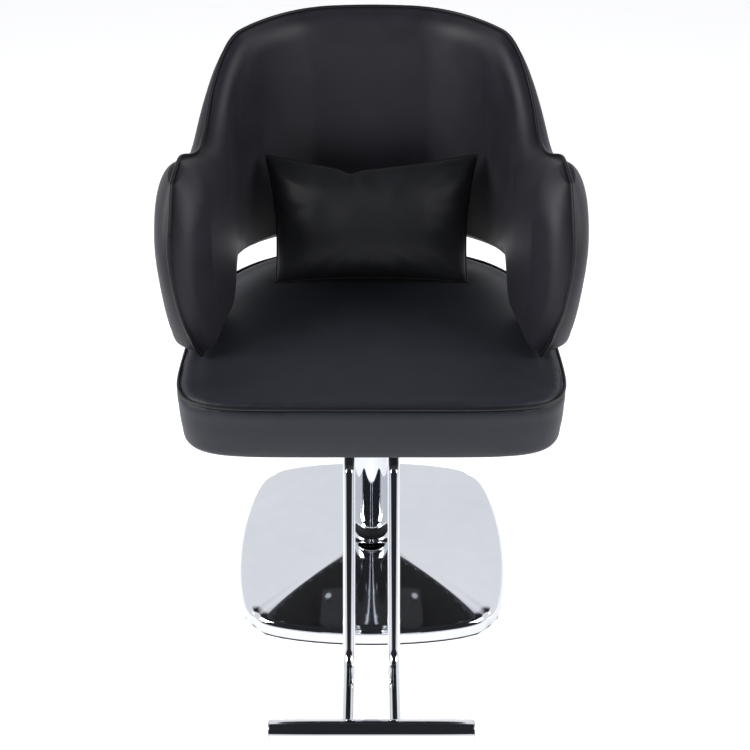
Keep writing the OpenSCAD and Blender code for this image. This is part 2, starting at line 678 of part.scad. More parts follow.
// Distance along the plan line at which the arm passes y
function arm_s(y) = wrap_end + (shell_y - wrap_r * (1 - cos(wrap_angle)) - y) / sin(wrap_angle);

// Heading of the plan line at distance s from the centre of the back
function heading(s) = min(wrap_angle, max(0, (abs(s) - flat_half) / wrap_r * 180 / PI));

// Plan line of the shell's middle surface: flat back, round wrap, straight arms
function plan(s) = let (h = heading(s), run = max(0, abs(s) - wrap_end), side = s < 0 ? -1 : 1)
    [side * (min(abs(s), flat_half) + wrap_r * sin(h) + run * cos(h)),
        shell_y - wrap_r * (1 - cos(h)) - run * sin(h)];

// How far the arm's lower part tucks inwards at height z
function tuck(z) = tuck_reach * pow(min(1, max(0, (tuck_top - z) / (tuck_top - tuck_bottom))), 1.5);

// Point at offset w towards the sitter from the middle surface at s along and z up
function shell_point(s, z, w) = let (p = plan(s), h = heading(s), side = s < 0 ? -1 : 1, c = cos(h), n = sin(h))
    [p[0] - side * n * (w + tuck(z)), p[1] - c * w + recline * (z - seat_h - 23) * c * c, z];
function mid_point(s, z) = shell_point(s, z, 0);

// Upper edge: crowned back, fall to the saddle, rise to the arm's front
function upper_z(s) = let (a = abs(s))
    mix(back_top - crown_fall * pow(a / shoulder_s, 2), saddle_z, smooth((a - shoulder_s) / (saddle_s - shoulder_s)))
    + saddle_dip * smooth((a - saddle_s) / (arm_ref - 42 - saddle_s))
    - corner_fall * pow(max(0, (a - arm_ref + corner_run) / corner_run), 2);

// Lower edge: clear of the seat round the back, down to it under the arms
function lower_z(s) = let (a = abs(s))
    mix(mix(lower_mid_z, lower_side_z, pow(min(1, a / lower_side_s), 3)), foot_z,
        smooth((a - lower_side_s) / (lower_foot_s - lower_side_s)));

// Front edge of an arm: a belly that falls back towards the top and the foot
function front_s(z) = arm_end
    - (z > belly_z ? belly_up[1] * pow((z - belly_z) / belly_up[0], 2) : belly_down[1] * pow((belly_z - z) / belly_down[0], 2));

// Quarter-round roll over the distance r from an edge
function roll(d, r) = let (k = min(1, max(0, d / r))) sqrt(1 - (1 - k) * (1 - k));

function arm_share(s) = smooth((abs(s) - shoulder_s - 40) / (saddle_s - shoulder_s));
function edge_roll(s, z) = let (a = arm_share(s), g = seam_gap)
    roll(upper_z(s) - z - g, mix(roll_back, roll_arm, a)) * roll(z - lower_z(s) - g, roll_foot)
    * roll(front_s(z) - abs(s) - g, mix(roll_nose, roll_arm, smooth((z - foot_z) / nose_h)));
function inner_w(s, z) = seam_w + (mix(back_pad, arm_pad - inner_tuck * tuck(z), arm_share(s)) - seam_w) * edge_roll(s, z);
function outer_w(s, z) = seam_w + (mix(outer_pad, arm_outer_pad + belly_fill * tuck(z), arm_share(s)) - seam_w) * edge_roll(s, z);
// Depth that the outer padding leaves free for the core, inside its edge
function core_room(s, z) = 0.05 + (core_t + 2 * core_gap) * smooth((min(upper_z(s) - z, z - lower_z(s), front_s(z) - abs(s)) - 12) / 10);

// Places [s, z] on the shell, set in from its edge; rows run along it and columns up it
function shell_places(inset, rows, cols) = [for (i = [0:rows])
    let (t = 2 * i / rows - 1, side = t < 0 ? -1 : 1, u = sin(90 * abs(t)), base = u * arm_ref,
        low = lower_z(base) + inset, high = upper_z(base) - inset, pull = pow(u, 6))
    [for (j = [0:cols]) let (v = (1 - cos(180 * j / cols)) / 2, z = mix(low, high, v))
        [side * (base + pull * (front_s(z) - inset - arm_ref)), z]]];

shell_rows = 36;
shell_cols = 8;

function inner_grid(places, t) = [for (r = places) [for (q = r) shell_point(q[0], q[1], inner_w(q[0], q[1]) - t)]];
function outer_grid(places, t) = [for (r = places) [for (q = r) shell_point(q[0], q[1], t - outer_w(q[0], q[1]))]];
function flat_grid(places, w) = [for (r = places) [for (q = r) shell_point(q[0], q[1], w)]];

module shell_core() color("#b58b5a") {
    places = shell_places(core_in, shell_rows, shell_cols);
    slab(flat_grid(places, -core_gap), flat_grid(places, -core_gap - core_t));
}

module shell_foam_inner() color("#c9b98a") difference() {
    places = shell_places(seam_gap, shell_rows, shell_cols);
    slab(inner_grid(places, skin_t + gap / 2), flat_grid(places, 0));
    arm_slots(foot_z - 10, strap_top + gap);
    for (side = [-1, 1]) for (z = screw_z) mirror([side > 0 ? 0 : 1, 0, 0])
        translate([strap_x - strap_t - 4, strap_y, z]) rotate([0, 90, 0]) cylinder(r = 2 * screw_r + gap, h = 60, $fn = 24);
}

module shell_foam_outer() color("#c9b98a") {
    places = shell_places(seam_gap, shell_rows, shell_cols);
    slab([for (r = places) [for (q = r) shell_point(q[0], q[1], -core_room(q[0], q[1]))]],
        outer_grid(places, skin_t + gap / 2));
}

module shell_inner_panel() color("#26262a") difference() {
    places = shell_places(seam_gap, shell_rows, shell_cols);
    slab(inner_grid(places, 0), inner_grid(places, skin_t));
    arm_slots(foot_z - 10, foot_z + 40);
}

module shell_outer_panel() color("#2b2b30") {
    places = shell_places(seam_gap, shell_rows, shell_cols);
    slab(outer_grid(places, skin_t), outer_grid(places, 0));
}

module shell_piping() color("#1b1b1f") {
    places = shell_places(0, shell_rows, shell_cols);
    last = shell_rows;
    top = shell_cols;
    path = concat([for (i = [0:last]) places[i][top]], [for (j = [top - 1:-1:0]) places[last][j]],
        [for (i = [last - 1:-1:0]) places[i][0]], [for (j = [1:top - 1]) places[0][j]]);
    cord([for (q = path) mid_point(q[0], q[1])], cord_r);
}

// ---------------------------------------------------------------- pillow

// Outline and swell of the pillow at a across and b up, both from -1 to 1
function pillow_xz(a, b) = let (half = pillow_w / 2 * mix(0.9, 1, (b + 1) / 2) - 9 * (1 - b * b),
    rise = pillow_h / 2 - 7 * (1 - a * a)) [half * a, rise * b - (b > 0 ? 5 * b * (1 - a * a) : 0)];
function pillow_swell(a, b) = (pillow_t / 2 - pillow_edge / 2) * pow((1 - pow(abs(a), 3)) * (1 - pow(abs(b), 3)), 0.55);
pillow_rows = 14;
pillow_cols = 10;
function pillow_grid(shrink, side, t) = [for (i = [0:pillow_rows]) let (a = sin(90 * (2 * i / pillow_rows - 1)) * shrink)
    [for (j = [0:pillow_cols]) let (b = sin(90 * (2 * j / pillow_cols - 1)) * shrink, q = pillow_xz(a, b))
        [q[0], side * (pillow_swell(a, b) + t), q[1]]]];

module on_back() translate([0, pillow_y, pillow_z]) rotate([-pillow_lean, 0, 0]) children();

module pillow_fill() color("#e8e6e0") on_back()
    slab(pillow_grid(pillow_in, -1, 0.1), pillow_grid(pillow_in, 1, 0.1));
module pillow_front() color("#1e1e21") on_back()
    slab(pillow_grid(pillow_in, -1, gap + skin_t), pillow_grid(pillow_in, -1, gap));
module pillow_rear() color("#1e1e21") on_back()
    slab(pillow_grid(pillow_in, 1, gap), pillow_grid(pillow_in, 1, gap + skin_t));
module pillow_piping() color("#141416") on_back() {
    n = 14;
    path = concat([for (i = [-n:n - 1]) pillow_xz(i / n, 1)], [for (i = [n:-1:-n + 1]) pillow_xz(1, i / n)],
        [for (i = [n:-1:-n + 1]) pillow_xz(i / n, -1)], [for (i = [-n:n - 1]) pillow_xz(-1, i / n)]);
    cord([for (q = path) [q[0], 0, q[1]]], cord_r * 0.8);
}

// ---------------------------------------------------------------- drawing

base_plate();
base_edging();
base_cover();
cover_brackets();
pump_body();
pump_bolts();
lift_cylinder();
cylinder_gland();
dust_cone();
pedal_pin();
pedal_spring();
ram();
ram_piston();
piston_seal();
thrust_washer();
pedal_lever();
pedal_plate();
pedal_pad();
plunger();
sleeve();
swivel_hub();
seat_plate();
seat_rail(-1);  // seat_rail_left
seat_rail(1);  // seat_rail_right
rail_bolts();
footrest_plate();
footrest_bolts();
footrest_tube(-1);  // footrest_tube_left
footrest_tube(1);  // footrest_tube_right
foot_bar();
bar_caps();
seat_board();
seat_foam();
seat_top_panel();
seat_boxing();
seat_piping();
dust_cover();
arm_bracket(-1);  // arm_bracket_left
arm_bracket(1);  // arm_bracket_right
bracket_bolts();
arm_screws();
shell_core();
shell_foam_inner();
shell_foam_outer();
shell_inner_panel();
shell_outer_panel();
shell_piping();
pillow_fill();
pillow_front();
pillow_rear();
pillow_piping();
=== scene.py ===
"""Looks of a tub styling chair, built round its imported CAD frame.

Every size below is in millimetres and repeats the part's own values; meshes are
written in metres, in the frame's own place.
"""
import json
import logging
import math
from dataclasses import dataclass, field
from enum import Enum

import bmesh
import bpy
import numpy as np
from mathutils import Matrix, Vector, noise
from mathutils.kdtree import KDTree


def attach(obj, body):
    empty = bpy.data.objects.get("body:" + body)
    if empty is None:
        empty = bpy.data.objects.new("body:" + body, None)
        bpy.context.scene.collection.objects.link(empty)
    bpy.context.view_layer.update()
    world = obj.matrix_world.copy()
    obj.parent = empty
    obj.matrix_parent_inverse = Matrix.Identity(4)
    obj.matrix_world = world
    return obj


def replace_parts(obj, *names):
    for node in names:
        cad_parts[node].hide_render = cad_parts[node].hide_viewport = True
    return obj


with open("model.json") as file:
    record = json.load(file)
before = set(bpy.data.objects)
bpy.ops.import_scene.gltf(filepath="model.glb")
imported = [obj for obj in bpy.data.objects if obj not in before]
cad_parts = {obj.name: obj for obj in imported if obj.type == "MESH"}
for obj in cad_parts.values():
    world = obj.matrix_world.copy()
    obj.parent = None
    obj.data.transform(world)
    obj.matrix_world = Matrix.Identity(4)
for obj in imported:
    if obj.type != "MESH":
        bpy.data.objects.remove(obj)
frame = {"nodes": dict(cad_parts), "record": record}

LOG = logging.getLogger("styling_chair")
MM = 0.001
SEED = 7

# Sizes in millimetres that the seat and the shell share.
SEAT_H = 477.0
SEAT_HALF = 272.0
SEAT_CROWN = 11.0
CROWN_REACH = 200.0
CORD_R = 2.4


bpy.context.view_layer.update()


# ------------------------------------------------------------------ nodes


def srgb(code: str) -> tuple[float, float, float, float]:
    """Turns an sRGB hex value into a linear colour.

    Args:
        code: six hex digits, with or without a leading #.

    Returns:
        Linear red, green, blue and an alpha of 1.
    """
    parts = [int(code.lstrip("#")[i:i + 2], 16) / 255 for i in (0, 2, 4)]
    linear = [c / 12.92 if c <= 0.04045 else ((c + 0.055) / 1.055) ** 2.4 for c in parts]
    return (*linear, 1.0)


def add(tree: bpy.types.NodeTree, kind: str, inputs: dict | None = None, **settings: object) -> bpy.types.Node:
    """Adds one node to a tree, with its settings and links.

    Args:
        tree: the node tree.
        kind: the node's type name.
        inputs: values or output sockets, by the input's name or number.
        **settings: properties of the node.

    Returns:
        The new node.
    """
    node = tree.nodes.new(kind)
    for name, value in settings.items():
        setattr(node, name, value)
    for key, value in (inputs or {}).items():
        if isinstance(value, bpy.types.NodeSocket):
            tree.links.new(value, node.inputs[key])
        else:
            node.inputs[key].default_value = value
    return node


def per_mm(size: float) -> float:
    """Texture scale that gives features of this size in millimetres."""
    return 1.0 / (size * MM)


# ------------------------------------------------------------------ finishes


class Surface(Enum):
    """How a surface was made, which sets the pattern that it shows."""

    EMBOSSED = "embossed grain"
    PLATED = "polished plating"
    COATED = "powder coat"
    BRUSHED = "ground or brushed metal"
    CAST = "sand casting under paint"
    MOULDED = "moulded rubber"
    LAYERED = "laminated veneers"
    CELLULAR = "open foam cells"
    FIBROUS = "matted fibres"


@dataclass(frozen=True)
class Finish:
    """One real material and its surface.

    Attributes:
        name: what the material is.
        surface: how its surface was made.
        dark, light: the ends of its colour variation, as sRGB hex values.
        smooth, rough: the ends of its roughness.
        feature: size of the pattern in millimetres.
        relief: height of the pattern in millimetres.
        metallic: 1 for a metal.
        specular: specular level of a non-metal.
        sheen: soft glow at the edges of a textile or a soft skin.
    """

    name: str
    surface: Surface
    dark: str
    light: str
    smooth: float
    rough: float
    feature: float
    relief: float
    metallic: float = 0.0
    specular: float = 0.5
    sheen: float = 0.0

    def pattern(self, tree: bpy.types.NodeTree, place: bpy.types.NodeSocket) -> tuple:
        """Adds the nodes of the surface's pattern.

        Args:
            tree: the material's node tree.
            place: object coordinates.

        Returns:
            The socket of the fine relief and the socket of the broad variation.
        """
        scale = per_mm(self.feature)
        broad = add(tree, "ShaderNodeTexNoise",
                    {"Vector": place, "Scale": scale / 28, "Detail": 4.0, "Roughness": 0.6})
        if self.surface is Surface.EMBOSSED:
            cells = add(tree, "ShaderNodeTexVoronoi",
                        {"Vector": place, "Scale": scale, "Smoothness": 0.6, "Randomness": 0.9},
                        feature="SMOOTH_F1")
            pores = add(tree, "ShaderNodeTexNoise",
                        {"Vector": place, "Scale": scale * 2.3, "Detail": 3.0})
            fine = add(tree, "ShaderNodeMath", {0: cells.outputs["Distance"], 1: 0.35, 2: pores.outputs["Fac"]},
                       operation="MULTIPLY_ADD")
            return fine.outputs[0], broad.outputs["Fac"]
        if self.surface is Surface.BRUSHED:
            drawn = add(tree, "ShaderNodeMapping", {"Vector": place, "Scale": (1.0, 1.0, 0.04)})
            lines = add(tree, "ShaderNodeTexNoise",
                        {"Vector": drawn.outputs[0], "Scale": scale, "Detail": 5.0, "Roughness": 0.7})
            return lines.outputs["Fac"], broad.outputs["Fac"]
        if self.surface is Surface.LAYERED:
            bent = add(tree, "ShaderNodeTexNoise", {"Vector": place, "Scale": scale / 12, "Detail": 3.0})
            moved = add(tree, "ShaderNodeVectorMath",
                        {0: bent.outputs["Color"], 1: (0.004, 0.004, 0.0005), 2: place},
                        operation="MULTIPLY_ADD")
            veneers = add(tree, "ShaderNodeTexWave",
                          {"Vector": moved.outputs[0], "Scale": scale / 2, "Distortion": 0.6, "Detail": 2.0},
                          wave_type="BANDS", bands_direction="Z")
            return veneers.outputs["Fac"], broad.outputs["Fac"]
        if self.surface is Surface.CELLULAR:
            cells = add(tree, "ShaderNodeTexVoronoi", {"Vector": place, "Scale": scale},
                        feature="DISTANCE_TO_EDGE")
            return cells.outputs["Distance"], broad.outputs["Fac"]
        if self.surface is Surface.FIBROUS:
            matted = add(tree, "ShaderNodeTexNoise",
                         {"Vector": place, "Scale": scale, "Detail": 8.0, "Roughness": 0.75, "Distortion": 1.6})
            return matted.outputs["Fac"], broad.outputs["Fac"]
        fine = add(tree, "ShaderNodeTexNoise",
                   {"Vector": place, "Scale": scale, "Detail": 5.0 if self.surface is Surface.CAST else 2.0})
        return fine.outputs["Fac"], broad.outputs["Fac"]

    def material(self) -> bpy.types.Material:
        """Builds the material, or returns it if it is there already."""
        found = bpy.data.materials.get(self.name)
        if found:
            return found
        made = bpy.data.materials.new(self.name)
        made.use_nodes = True
        tree = made.node_tree
        tree.nodes.clear()
        place = add(tree, "ShaderNodeTexCoord").outputs["Object"]
        fine, broad = self.pattern(tree, place)
        weight = 0.5 if self.surface in (Surface.LAYERED, Surface.CELLULAR, Surface.FIBROUS) else 0.22
        blend = add(tree, "ShaderNodeMix", {0: weight, 2: broad, 3: fine}, data_type="FLOAT")
        spread = add(tree, "ShaderNodeMapRange",
                     {"Value": blend.outputs[0], "From Min": 0.3, "From Max": 0.72}).outputs[0]
        tone = add(tree, "ShaderNodeMix", {0: spread, 6: srgb(self.dark), 7: srgb(self.light)},
                   data_type="RGBA")
        dull = add(tree, "ShaderNodeMapRange",
                   {"Value": spread, "To Min": self.smooth, "To Max": self.rough})
        bump = add(tree, "ShaderNodeBump",
                   {"Height": fine, "Strength": 1.0, "Distance": self.relief * MM})
        shader = add(tree, "ShaderNodeBsdfPrincipled",
                     {"Base Color": tone.outputs[2], "Roughness": dull.outputs[0], "Metallic": self.metallic,
                      "Normal": bump.outputs[0], "Specular IOR Level": self.specular,
                      "Sheen Weight": self.sheen, "Sheen Roughness": 0.45})
        add(tree, "ShaderNodeOutputMaterial", {"Surface": shader.outputs[0]})
        made.diffuse_color = srgb(self.light)
        return made


# PVC leatherette, embossed with a fine pebble and wiped semi-matt: soft, wide highlights.
# The real pebble is about 0.8 mm across; it is drawn at 1.7 mm so that it shows.
SEAT_SKIN = Finish("leatherette_seat", Surface.EMBOSSED, "#1b1d25", "#22252e", 0.45, 0.53, 1.7, 0.05,
                   specular=0.33, sheen=0.04)
SHELL_SKIN = Finish("leatherette_shell", Surface.EMBOSSED, "#1a1a21", "#22222a", 0.45, 0.53, 1.7, 0.05,
                    specular=0.33, sheen=0.04)
# The same leatherette cut on the bias and pulled over a cord: tighter, so a little shinier.
PIPING_SKIN = Finish("leatherette_piping", Surface.EMBOSSED, "#121214", "#1a1a1d", 0.38, 0.46, 1.3, 0.04,
                     specular=0.35)
# Thin soft leatherette with a waxed face: sharper highlights on its folds.
PILLOW_SKIN = Finish("leatherette_pillow", Surface.EMBOSSED, "#17181b", "#1f2024", 0.44, 0.52, 1.4, 0.04,
                     specular=0.38, sheen=0.03)
# Nickel and chromium over polished steel: a mirror with a cool tint and a breath of haze.
# The long waves of the pressed or drawn steel are 30 mm and more apart and only microns high.
CHROME = Finish("chromium_plate", Surface.PLATED, "#d3d6dc", "#e2e4e8", 0.025, 0.06, 34.0, 0.006, metallic=1.0)
# Satin nickel plating on the end caps: the same colour, blurred.
SATIN = Finish("satin_nickel_plate", Surface.PLATED, "#bfc1c5", "#cfd1d4", 0.16, 0.24, 20.0, 0.006, metallic=1.0)
# Polyester powder coat on steel, matt black, with orange peel about 1.5 mm across.
POWDER_COAT = Finish("powder_coated_steel", Surface.COATED, "#141416", "#1c1c1f", 0.5, 0.62, 1.5, 0.03, specular=0.4)
# Grey cast iron under thin black enamel: the sand's grain, near 1.2 mm, shows through.
CAST_IRON = Finish("enamelled_cast_iron", Surface.CAST, "#16171a", "#222327", 0.4, 0.58, 1.2, 0.12, specular=0.5)
# Carbon steel, turned and ground along its length: drawn-out lines 0.4 mm apart.
GROUND_STEEL = Finish("ground_steel", Surface.BRUSHED, "#9da0a5", "#b9bcc0", 0.18, 0.32, 0.4, 0.01, metallic=1.0)
# Zinc plate, clear passivated: brighter than steel, slightly blue, softly hazed.
ZINC = Finish("zinc_plated_steel", Surface.CAST, "#a3a8ae", "#c2c6ca", 0.26, 0.4, 1.6, 0.02, metallic=1.0)
# Bearing bronze, machined.
BRONZE = Finish("bearing_bronze", Surface.BRUSHED, "#8d6b33", "#b08d4a", 0.24, 0.36, 0.5, 0.01, metallic=1.0)
# Oiled spring wire: dark and half-glossy.
SPRING = Finish("oiled_spring_wire", Surface.BRUSHED, "#2e2f31", "#46474a", 0.28, 0.42, 0.5, 0.01, metallic=1.0)
# Nitrile rubber out of a spark-eroded mould: matt, with a 1 mm texture and a dusty bloom.
RUBBER = Finish("nitrile_rubber", Surface.MOULDED, "#111112", "#1b1b1c", 0.6, 0.74, 1.0, 0.04, specular=0.3)
# Birch plywood, raw: pale veneers 1.4 mm thick.
PLYWOOD = Finish("birch_plywood", Surface.LAYERED, "#a5824f", "#cdb083", 0.55, 0.7, 2.8, 0.03, specular=0.3)
# Polyurethane foam, cut: open cells under a millimetre, drawn at 2 mm.
FOAM = Finish("polyurethane_foam", Surface.CELLULAR, "#b39c62", "#d3c08c", 0.85, 0.95, 2.0, 0.3, specular=0.1)
# Polyester fibre stuffing.
STUFFING = Finish("polyester_fibre", Surface.FIBROUS, "#d8d5cd", "#ebe9e3", 0.85, 0.95, 3.0, 0.4, specular=0.1)
# Spunbonded polypropylene: the black cloth that closes the underside, a mat of pressed fibres.
NONWOVEN = Finish("spunbonded_cloth", Surface.FIBROUS, "#0f0f10", "#1b1b1d", 0.75, 0.9, 1.8, 0.08, specular=0.2,
                  sheen=0.1)

SLOT_FINISH = {
    "chrome": CHROME, "floor_plate": POWDER_COAT, "cast_body": CAST_IRON, "bright_steel": GROUND_STEEL,
    "zinc_steel": ZINC, "bronze": BRONZE, "spring_steel": SPRING, "rubber": RUBBER, "seat_skin": SEAT_SKIN,
    "shell_skin": SHELL_SKIN, "piping_skin": PIPING_SKIN, "pillow_skin": PILLOW_SKIN,
    "pillow_stuffing": STUFFING, "foam": FOAM, "plywood": PLYWOOD, "bottom_cloth": NONWOVEN,
}


# ------------------------------------------------------------------ mesh code


def smooth(t: np.ndarray | float) -> np.ndarray:
    """Smooth step from 0 to 1."""
    k = np.clip(t, 0.0, 1.0)
    return k * k * (3 - 2 * k)


def mix(a: np.ndarray | float, b: np.ndarray | float, t: np.ndarray | float) -> np.ndarray:
    """Linear blend of a and b."""
    return a + (b - a) * t


def power_norm(x: np.ndarray, y: np.ndarray, p: float) -> np.ndarray:
    """Length of a vector under the power p, which draws rounded squares."""
    return (np.abs(x) ** p + np.abs(y) ** p) ** (1 / p)


def grid_faces(rows: int, cols: int, closed_rows: bool = False, closed_cols: bool = False,
               offset: int = 0, flip: bool = False) -> list[tuple[int, ...]]:
    """Quads between the points of a grid.

    Args:
        rows, cols: points each way.
        closed_rows, closed_cols: join the last row or column to the first.
        offset: number of the first point.
        flip: turn the faces over.

    Returns:
        Tuples of four point numbers.
    """
    faces = []
    for i in range(rows if closed_rows else rows - 1):
        for j in range(cols if closed_cols else cols - 1):
            k, m = (i + 1) % rows, (j + 1) % cols
            quad = (i * cols + j, i * cols + m, k * cols + m, k * cols + j)
            faces.append(tuple(offset + q for q in (reversed(quad) if flip else quad)))
    return faces


def link(name: str, data: bpy.types.ID) -> bpy.types.Object:
    """Adds an object that holds this data to the scene."""
    made = bpy.data.objects.new(name, data)
    bpy.context.scene.collection.objects.link(made)
    return made


def make_object(name: str, points: np.ndarray, faces: list, finish: Finish | None = None,
                sharp: float = 40.0) -> bpy.types.Object:
    """Makes a mesh object at the origin.

    Args:
        name: the piece's name.
        points: points in millimetres, N by 3.
        faces: tuples of point numbers.
        finish: its finish.
        sharp: edges over this angle in degrees are shaded sharp.

    Returns:
        The object, linked to the scene.
    """
    mesh = bpy.data.meshes.new(name)
    mesh.from_pydata((np.asarray(points, float).reshape(-1, 3) * MM).tolist(), [], faces)
    mesh.validate()
    mesh.shade_smooth()
    mesh.set_sharp_from_angle(angle=math.radians(sharp))
    made = link(name, mesh)
    if finish:
        mesh.materials.append(finish.material())
    return made


def face_outwards(piece: bpy.types.Object) -> None:
    """Makes a closed mesh's faces point outwards."""
    work = bmesh.new()
    work.from_mesh(piece.data)
    bmesh.ops.remove_doubles(work, verts=work.verts, dist=1e-6)
    bmesh.ops.recalc_face_normals(work, faces=work.faces)
    work.to_mesh(piece.data)
    work.free()


def point_values(mesh: bpy.types.Mesh, what: str) -> np.ndarray:
    """One vector of every point of a mesh, N by 3."""
    flat = np.zeros(len(mesh.vertices) * 3)
    mesh.vertices.foreach_get(what, flat)
    return flat.reshape(-1, 3)


def positions(mesh: bpy.types.Mesh) -> np.ndarray:
    """A mesh's points in metres, N by 3."""
    return point_values(mesh, "co")


def set_positions(mesh: bpy.types.Mesh, points: np.ndarray) -> None:
    """Moves a mesh's points to places in metres."""
    mesh.vertices.foreach_set("co", points.astype(float).ravel())
    mesh.update()


def settle(piece: bpy.types.Object) -> bpy.types.Object:
    """Turns an object's modifiers into its plain mesh, and removes them."""
    graph = bpy.context.evaluated_depsgraph_get()
    graph.update()
    made = bpy.data.meshes.new_from_object(piece.evaluated_get(graph), depsgraph=graph)
    piece.modifiers.clear()
    old = piece.data
    piece.data = made
    made.name = piece.name
    bpy.data.meshes.remove(old)
    return piece


def refine(piece: bpy.types.Object, levels: int = 1) -> bpy.types.Object:
    """Subdivides a piece's surface smoothly."""
    step = piece.modifiers.new("refine", "SUBSURF")
    step.levels = step.render_levels = levels
    settle(piece)
    piece.data.shade_smooth()
    return piece


def turned(name: str, profile: list[tuple[float, float]], finish: Finish, sides: int = 96,
           closed: bool = True, sharp: float = 40.0) -> bpy.types.Object:
    """Turns a profile round the Z axis.

    Args:
        name: the piece's name.
        profile: radius and height of each point.
        finish: its finish.
        sides: steps round the axis.
        closed: the profile returns to its start, as a wall's does.
        sharp: edges over this angle are shaded sharp.

    Returns:
        The object.
    """
    angles = np.linspace(0, 2 * math.pi, sides, endpoint=False)
    rings = np.array([[[r * math.cos(a), r * math.sin(a), z] for r, z in profile] for a in angles])
    made = make_object(name, rings, grid_faces(sides, len(profile), True, closed), finish, sharp)
    face_outwards(made)
    return made


def rim_order(rows: int, cols: int) -> list[int]:
    """Numbers of the points round a grid's edge, in order."""
    return ([j for j in range(cols)] + [i * cols + cols - 1 for i in range(1, rows)]
            + [(rows - 1) * cols + j for j in range(cols - 2, -1, -1)]
            + [i * cols for i in range(rows - 2, 0, -1)])


def slab_mesh(front: np.ndarray, back: np.ndarray) -> tuple[np.ndarray, list]:
    """Closed mesh of two equal grids of points, joined round their edges.

    Args:
        front, back: points, rows by columns by 3.

    Returns:
        The points and the faces.
    """
    rows, cols = front.shape[:2]
    size = rows * cols
    rim = rim_order(rows, cols)
    faces = grid_faces(rows, cols) + grid_faces(rows, cols, offset=size, flip=True)
    for a, b in zip(rim, rim[1:] + rim[:1]):
        faces.append((b, a, size + a, size + b))
    return np.concatenate([front.reshape(-1, 3), back.reshape(-1, 3)]), faces


# ------------------------------------------------------------------ geometry nodes


def new_tree(name: str, inputs: dict[str, str]) -> tuple[bpy.types.NodeTree, bpy.types.Node]:
    """Starts a geometry node tree with named inputs.

    Args:
        name: the tree's name.
        inputs: socket types by input name, after the geometry.

    Returns:
        The tree and its input node.
    """
    tree = bpy.data.node_groups.new(name, "GeometryNodeTree")
    tree.interface.new_socket("Geometry", in_out="INPUT", socket_type="NodeSocketGeometry")
    for label, kind in inputs.items():
        tree.interface.new_socket(label, in_out="INPUT", socket_type=kind)
    tree.interface.new_socket("Geometry", in_out="OUTPUT", socket_type="NodeSocketGeometry")
    return tree, add(tree, "NodeGroupInput")


def end_tree(tree: bpy.types.NodeTree, shape: bpy.types.NodeSocket, material: bpy.types.NodeSocket) -> None:
    """Ends a tree: real geometry, smooth shading, its material."""
    real = add(tree, "GeometryNodeRealizeInstances", {"Geometry": shape})
    soft = add(tree, "GeometryNodeSetShadeSmooth", {"Geometry": real.outputs[0]})
    dressed = add(tree, "GeometryNodeSetMaterial", {"Geometry": soft.outputs[0], "Material": material})
    add(tree, "NodeGroupOutput", {"Geometry": dressed.outputs[0]})


def sweep_tree() -> bpy.types.NodeTree:
    """Tree that sweeps a round section along the edges of a mesh."""
    name = "round_sweep"
    if name in bpy.data.node_groups:
        return bpy.data.node_groups[name]
    tree, given = new_tree(name, {"Radius": "NodeSocketFloat", "Sides": "NodeSocketInt", "Step": "NodeSocketFloat",
                                  "Caps": "NodeSocketBool", "Material": "NodeSocketMaterial"})
    line = add(tree, "GeometryNodeMeshToCurve", {"Mesh": given.outputs["Geometry"]})
    even = add(tree, "GeometryNodeResampleCurve", {"Curve": line.outputs[0], "Length": given.outputs["Step"]},
               mode="LENGTH")
    ring = add(tree, "GeometryNodeCurvePrimitiveCircle",
               {"Resolution": given.outputs["Sides"], "Radius": given.outputs["Radius"]})
    skin = add(tree, "GeometryNodeCurveToMesh", {"Curve": even.outputs[0], "Profile Curve": ring.outputs[0],
                                                 "Fill Caps": given.outputs["Caps"]})
    end_tree(tree, skin.outputs[0], given.outputs["Material"])
    return tree


def staple_tree() -> bpy.types.NodeTree:
    """Tree that sets flat wire staples in a row along the edges of a mesh."""
    name = "staple_row"
    if name in bpy.data.node_groups:
        return bpy.data.node_groups[name]
    tree, given = new_tree(name, {"Pitch": "NodeSocketFloat", "Crown": "NodeSocketFloat", "Wire": "NodeSocketFloat",
                                  "Material": "NodeSocketMaterial"})
    line = add(tree, "GeometryNodeMeshToCurve", {"Mesh": given.outputs["Geometry"]})
    spots = add(tree, "GeometryNodeCurveToPoints", {"Curve": line.outputs[0], "Length": given.outputs["Pitch"]},
                mode="LENGTH")
    size = add(tree, "ShaderNodeCombineXYZ",
               {"X": given.outputs["Wire"], "Y": given.outputs["Wire"], "Z": given.outputs["Crown"]})
    wire = add(tree, "GeometryNodeMeshCube", {"Size": size.outputs[0]})
    jitter = add(tree, "FunctionNodeRandomValue", {0: (-0.16, -0.16, -0.16), 1: (0.16, 0.16, 0.16), "Seed": SEED},
                 data_type="FLOAT_VECTOR")
    turn = add(tree, "FunctionNodeRotateRotation",
               {"Rotation": spots.outputs["Rotation"], "Rotate By": jitter.outputs[0]})
    put = add(tree, "GeometryNodeInstanceOnPoints", {"Points": spots.outputs["Points"], "Instance": wire.outputs[0],
                                                     "Rotation": turn.outputs[0]})
    end_tree(tree, put.outputs[0], given.outputs["Material"])
    return tree


def run_tree(piece: bpy.types.Object, tree: bpy.types.NodeTree, values: dict) -> bpy.types.Object:
    """Runs a tree on an object and keeps the result as its plain mesh.

    Args:
        piece: the object.
        tree: a geometry node tree.
        values: input values by name.

    Returns:
        The same object.
    """
    step = piece.modifiers.new(tree.name, "NODES")
    step.node_group = tree
    for item in tree.interface.items_tree:
        if item.item_type == "SOCKET" and item.in_out == "INPUT" and item.name in values:
            step[item.identifier] = values[item.name]
    return settle(piece)


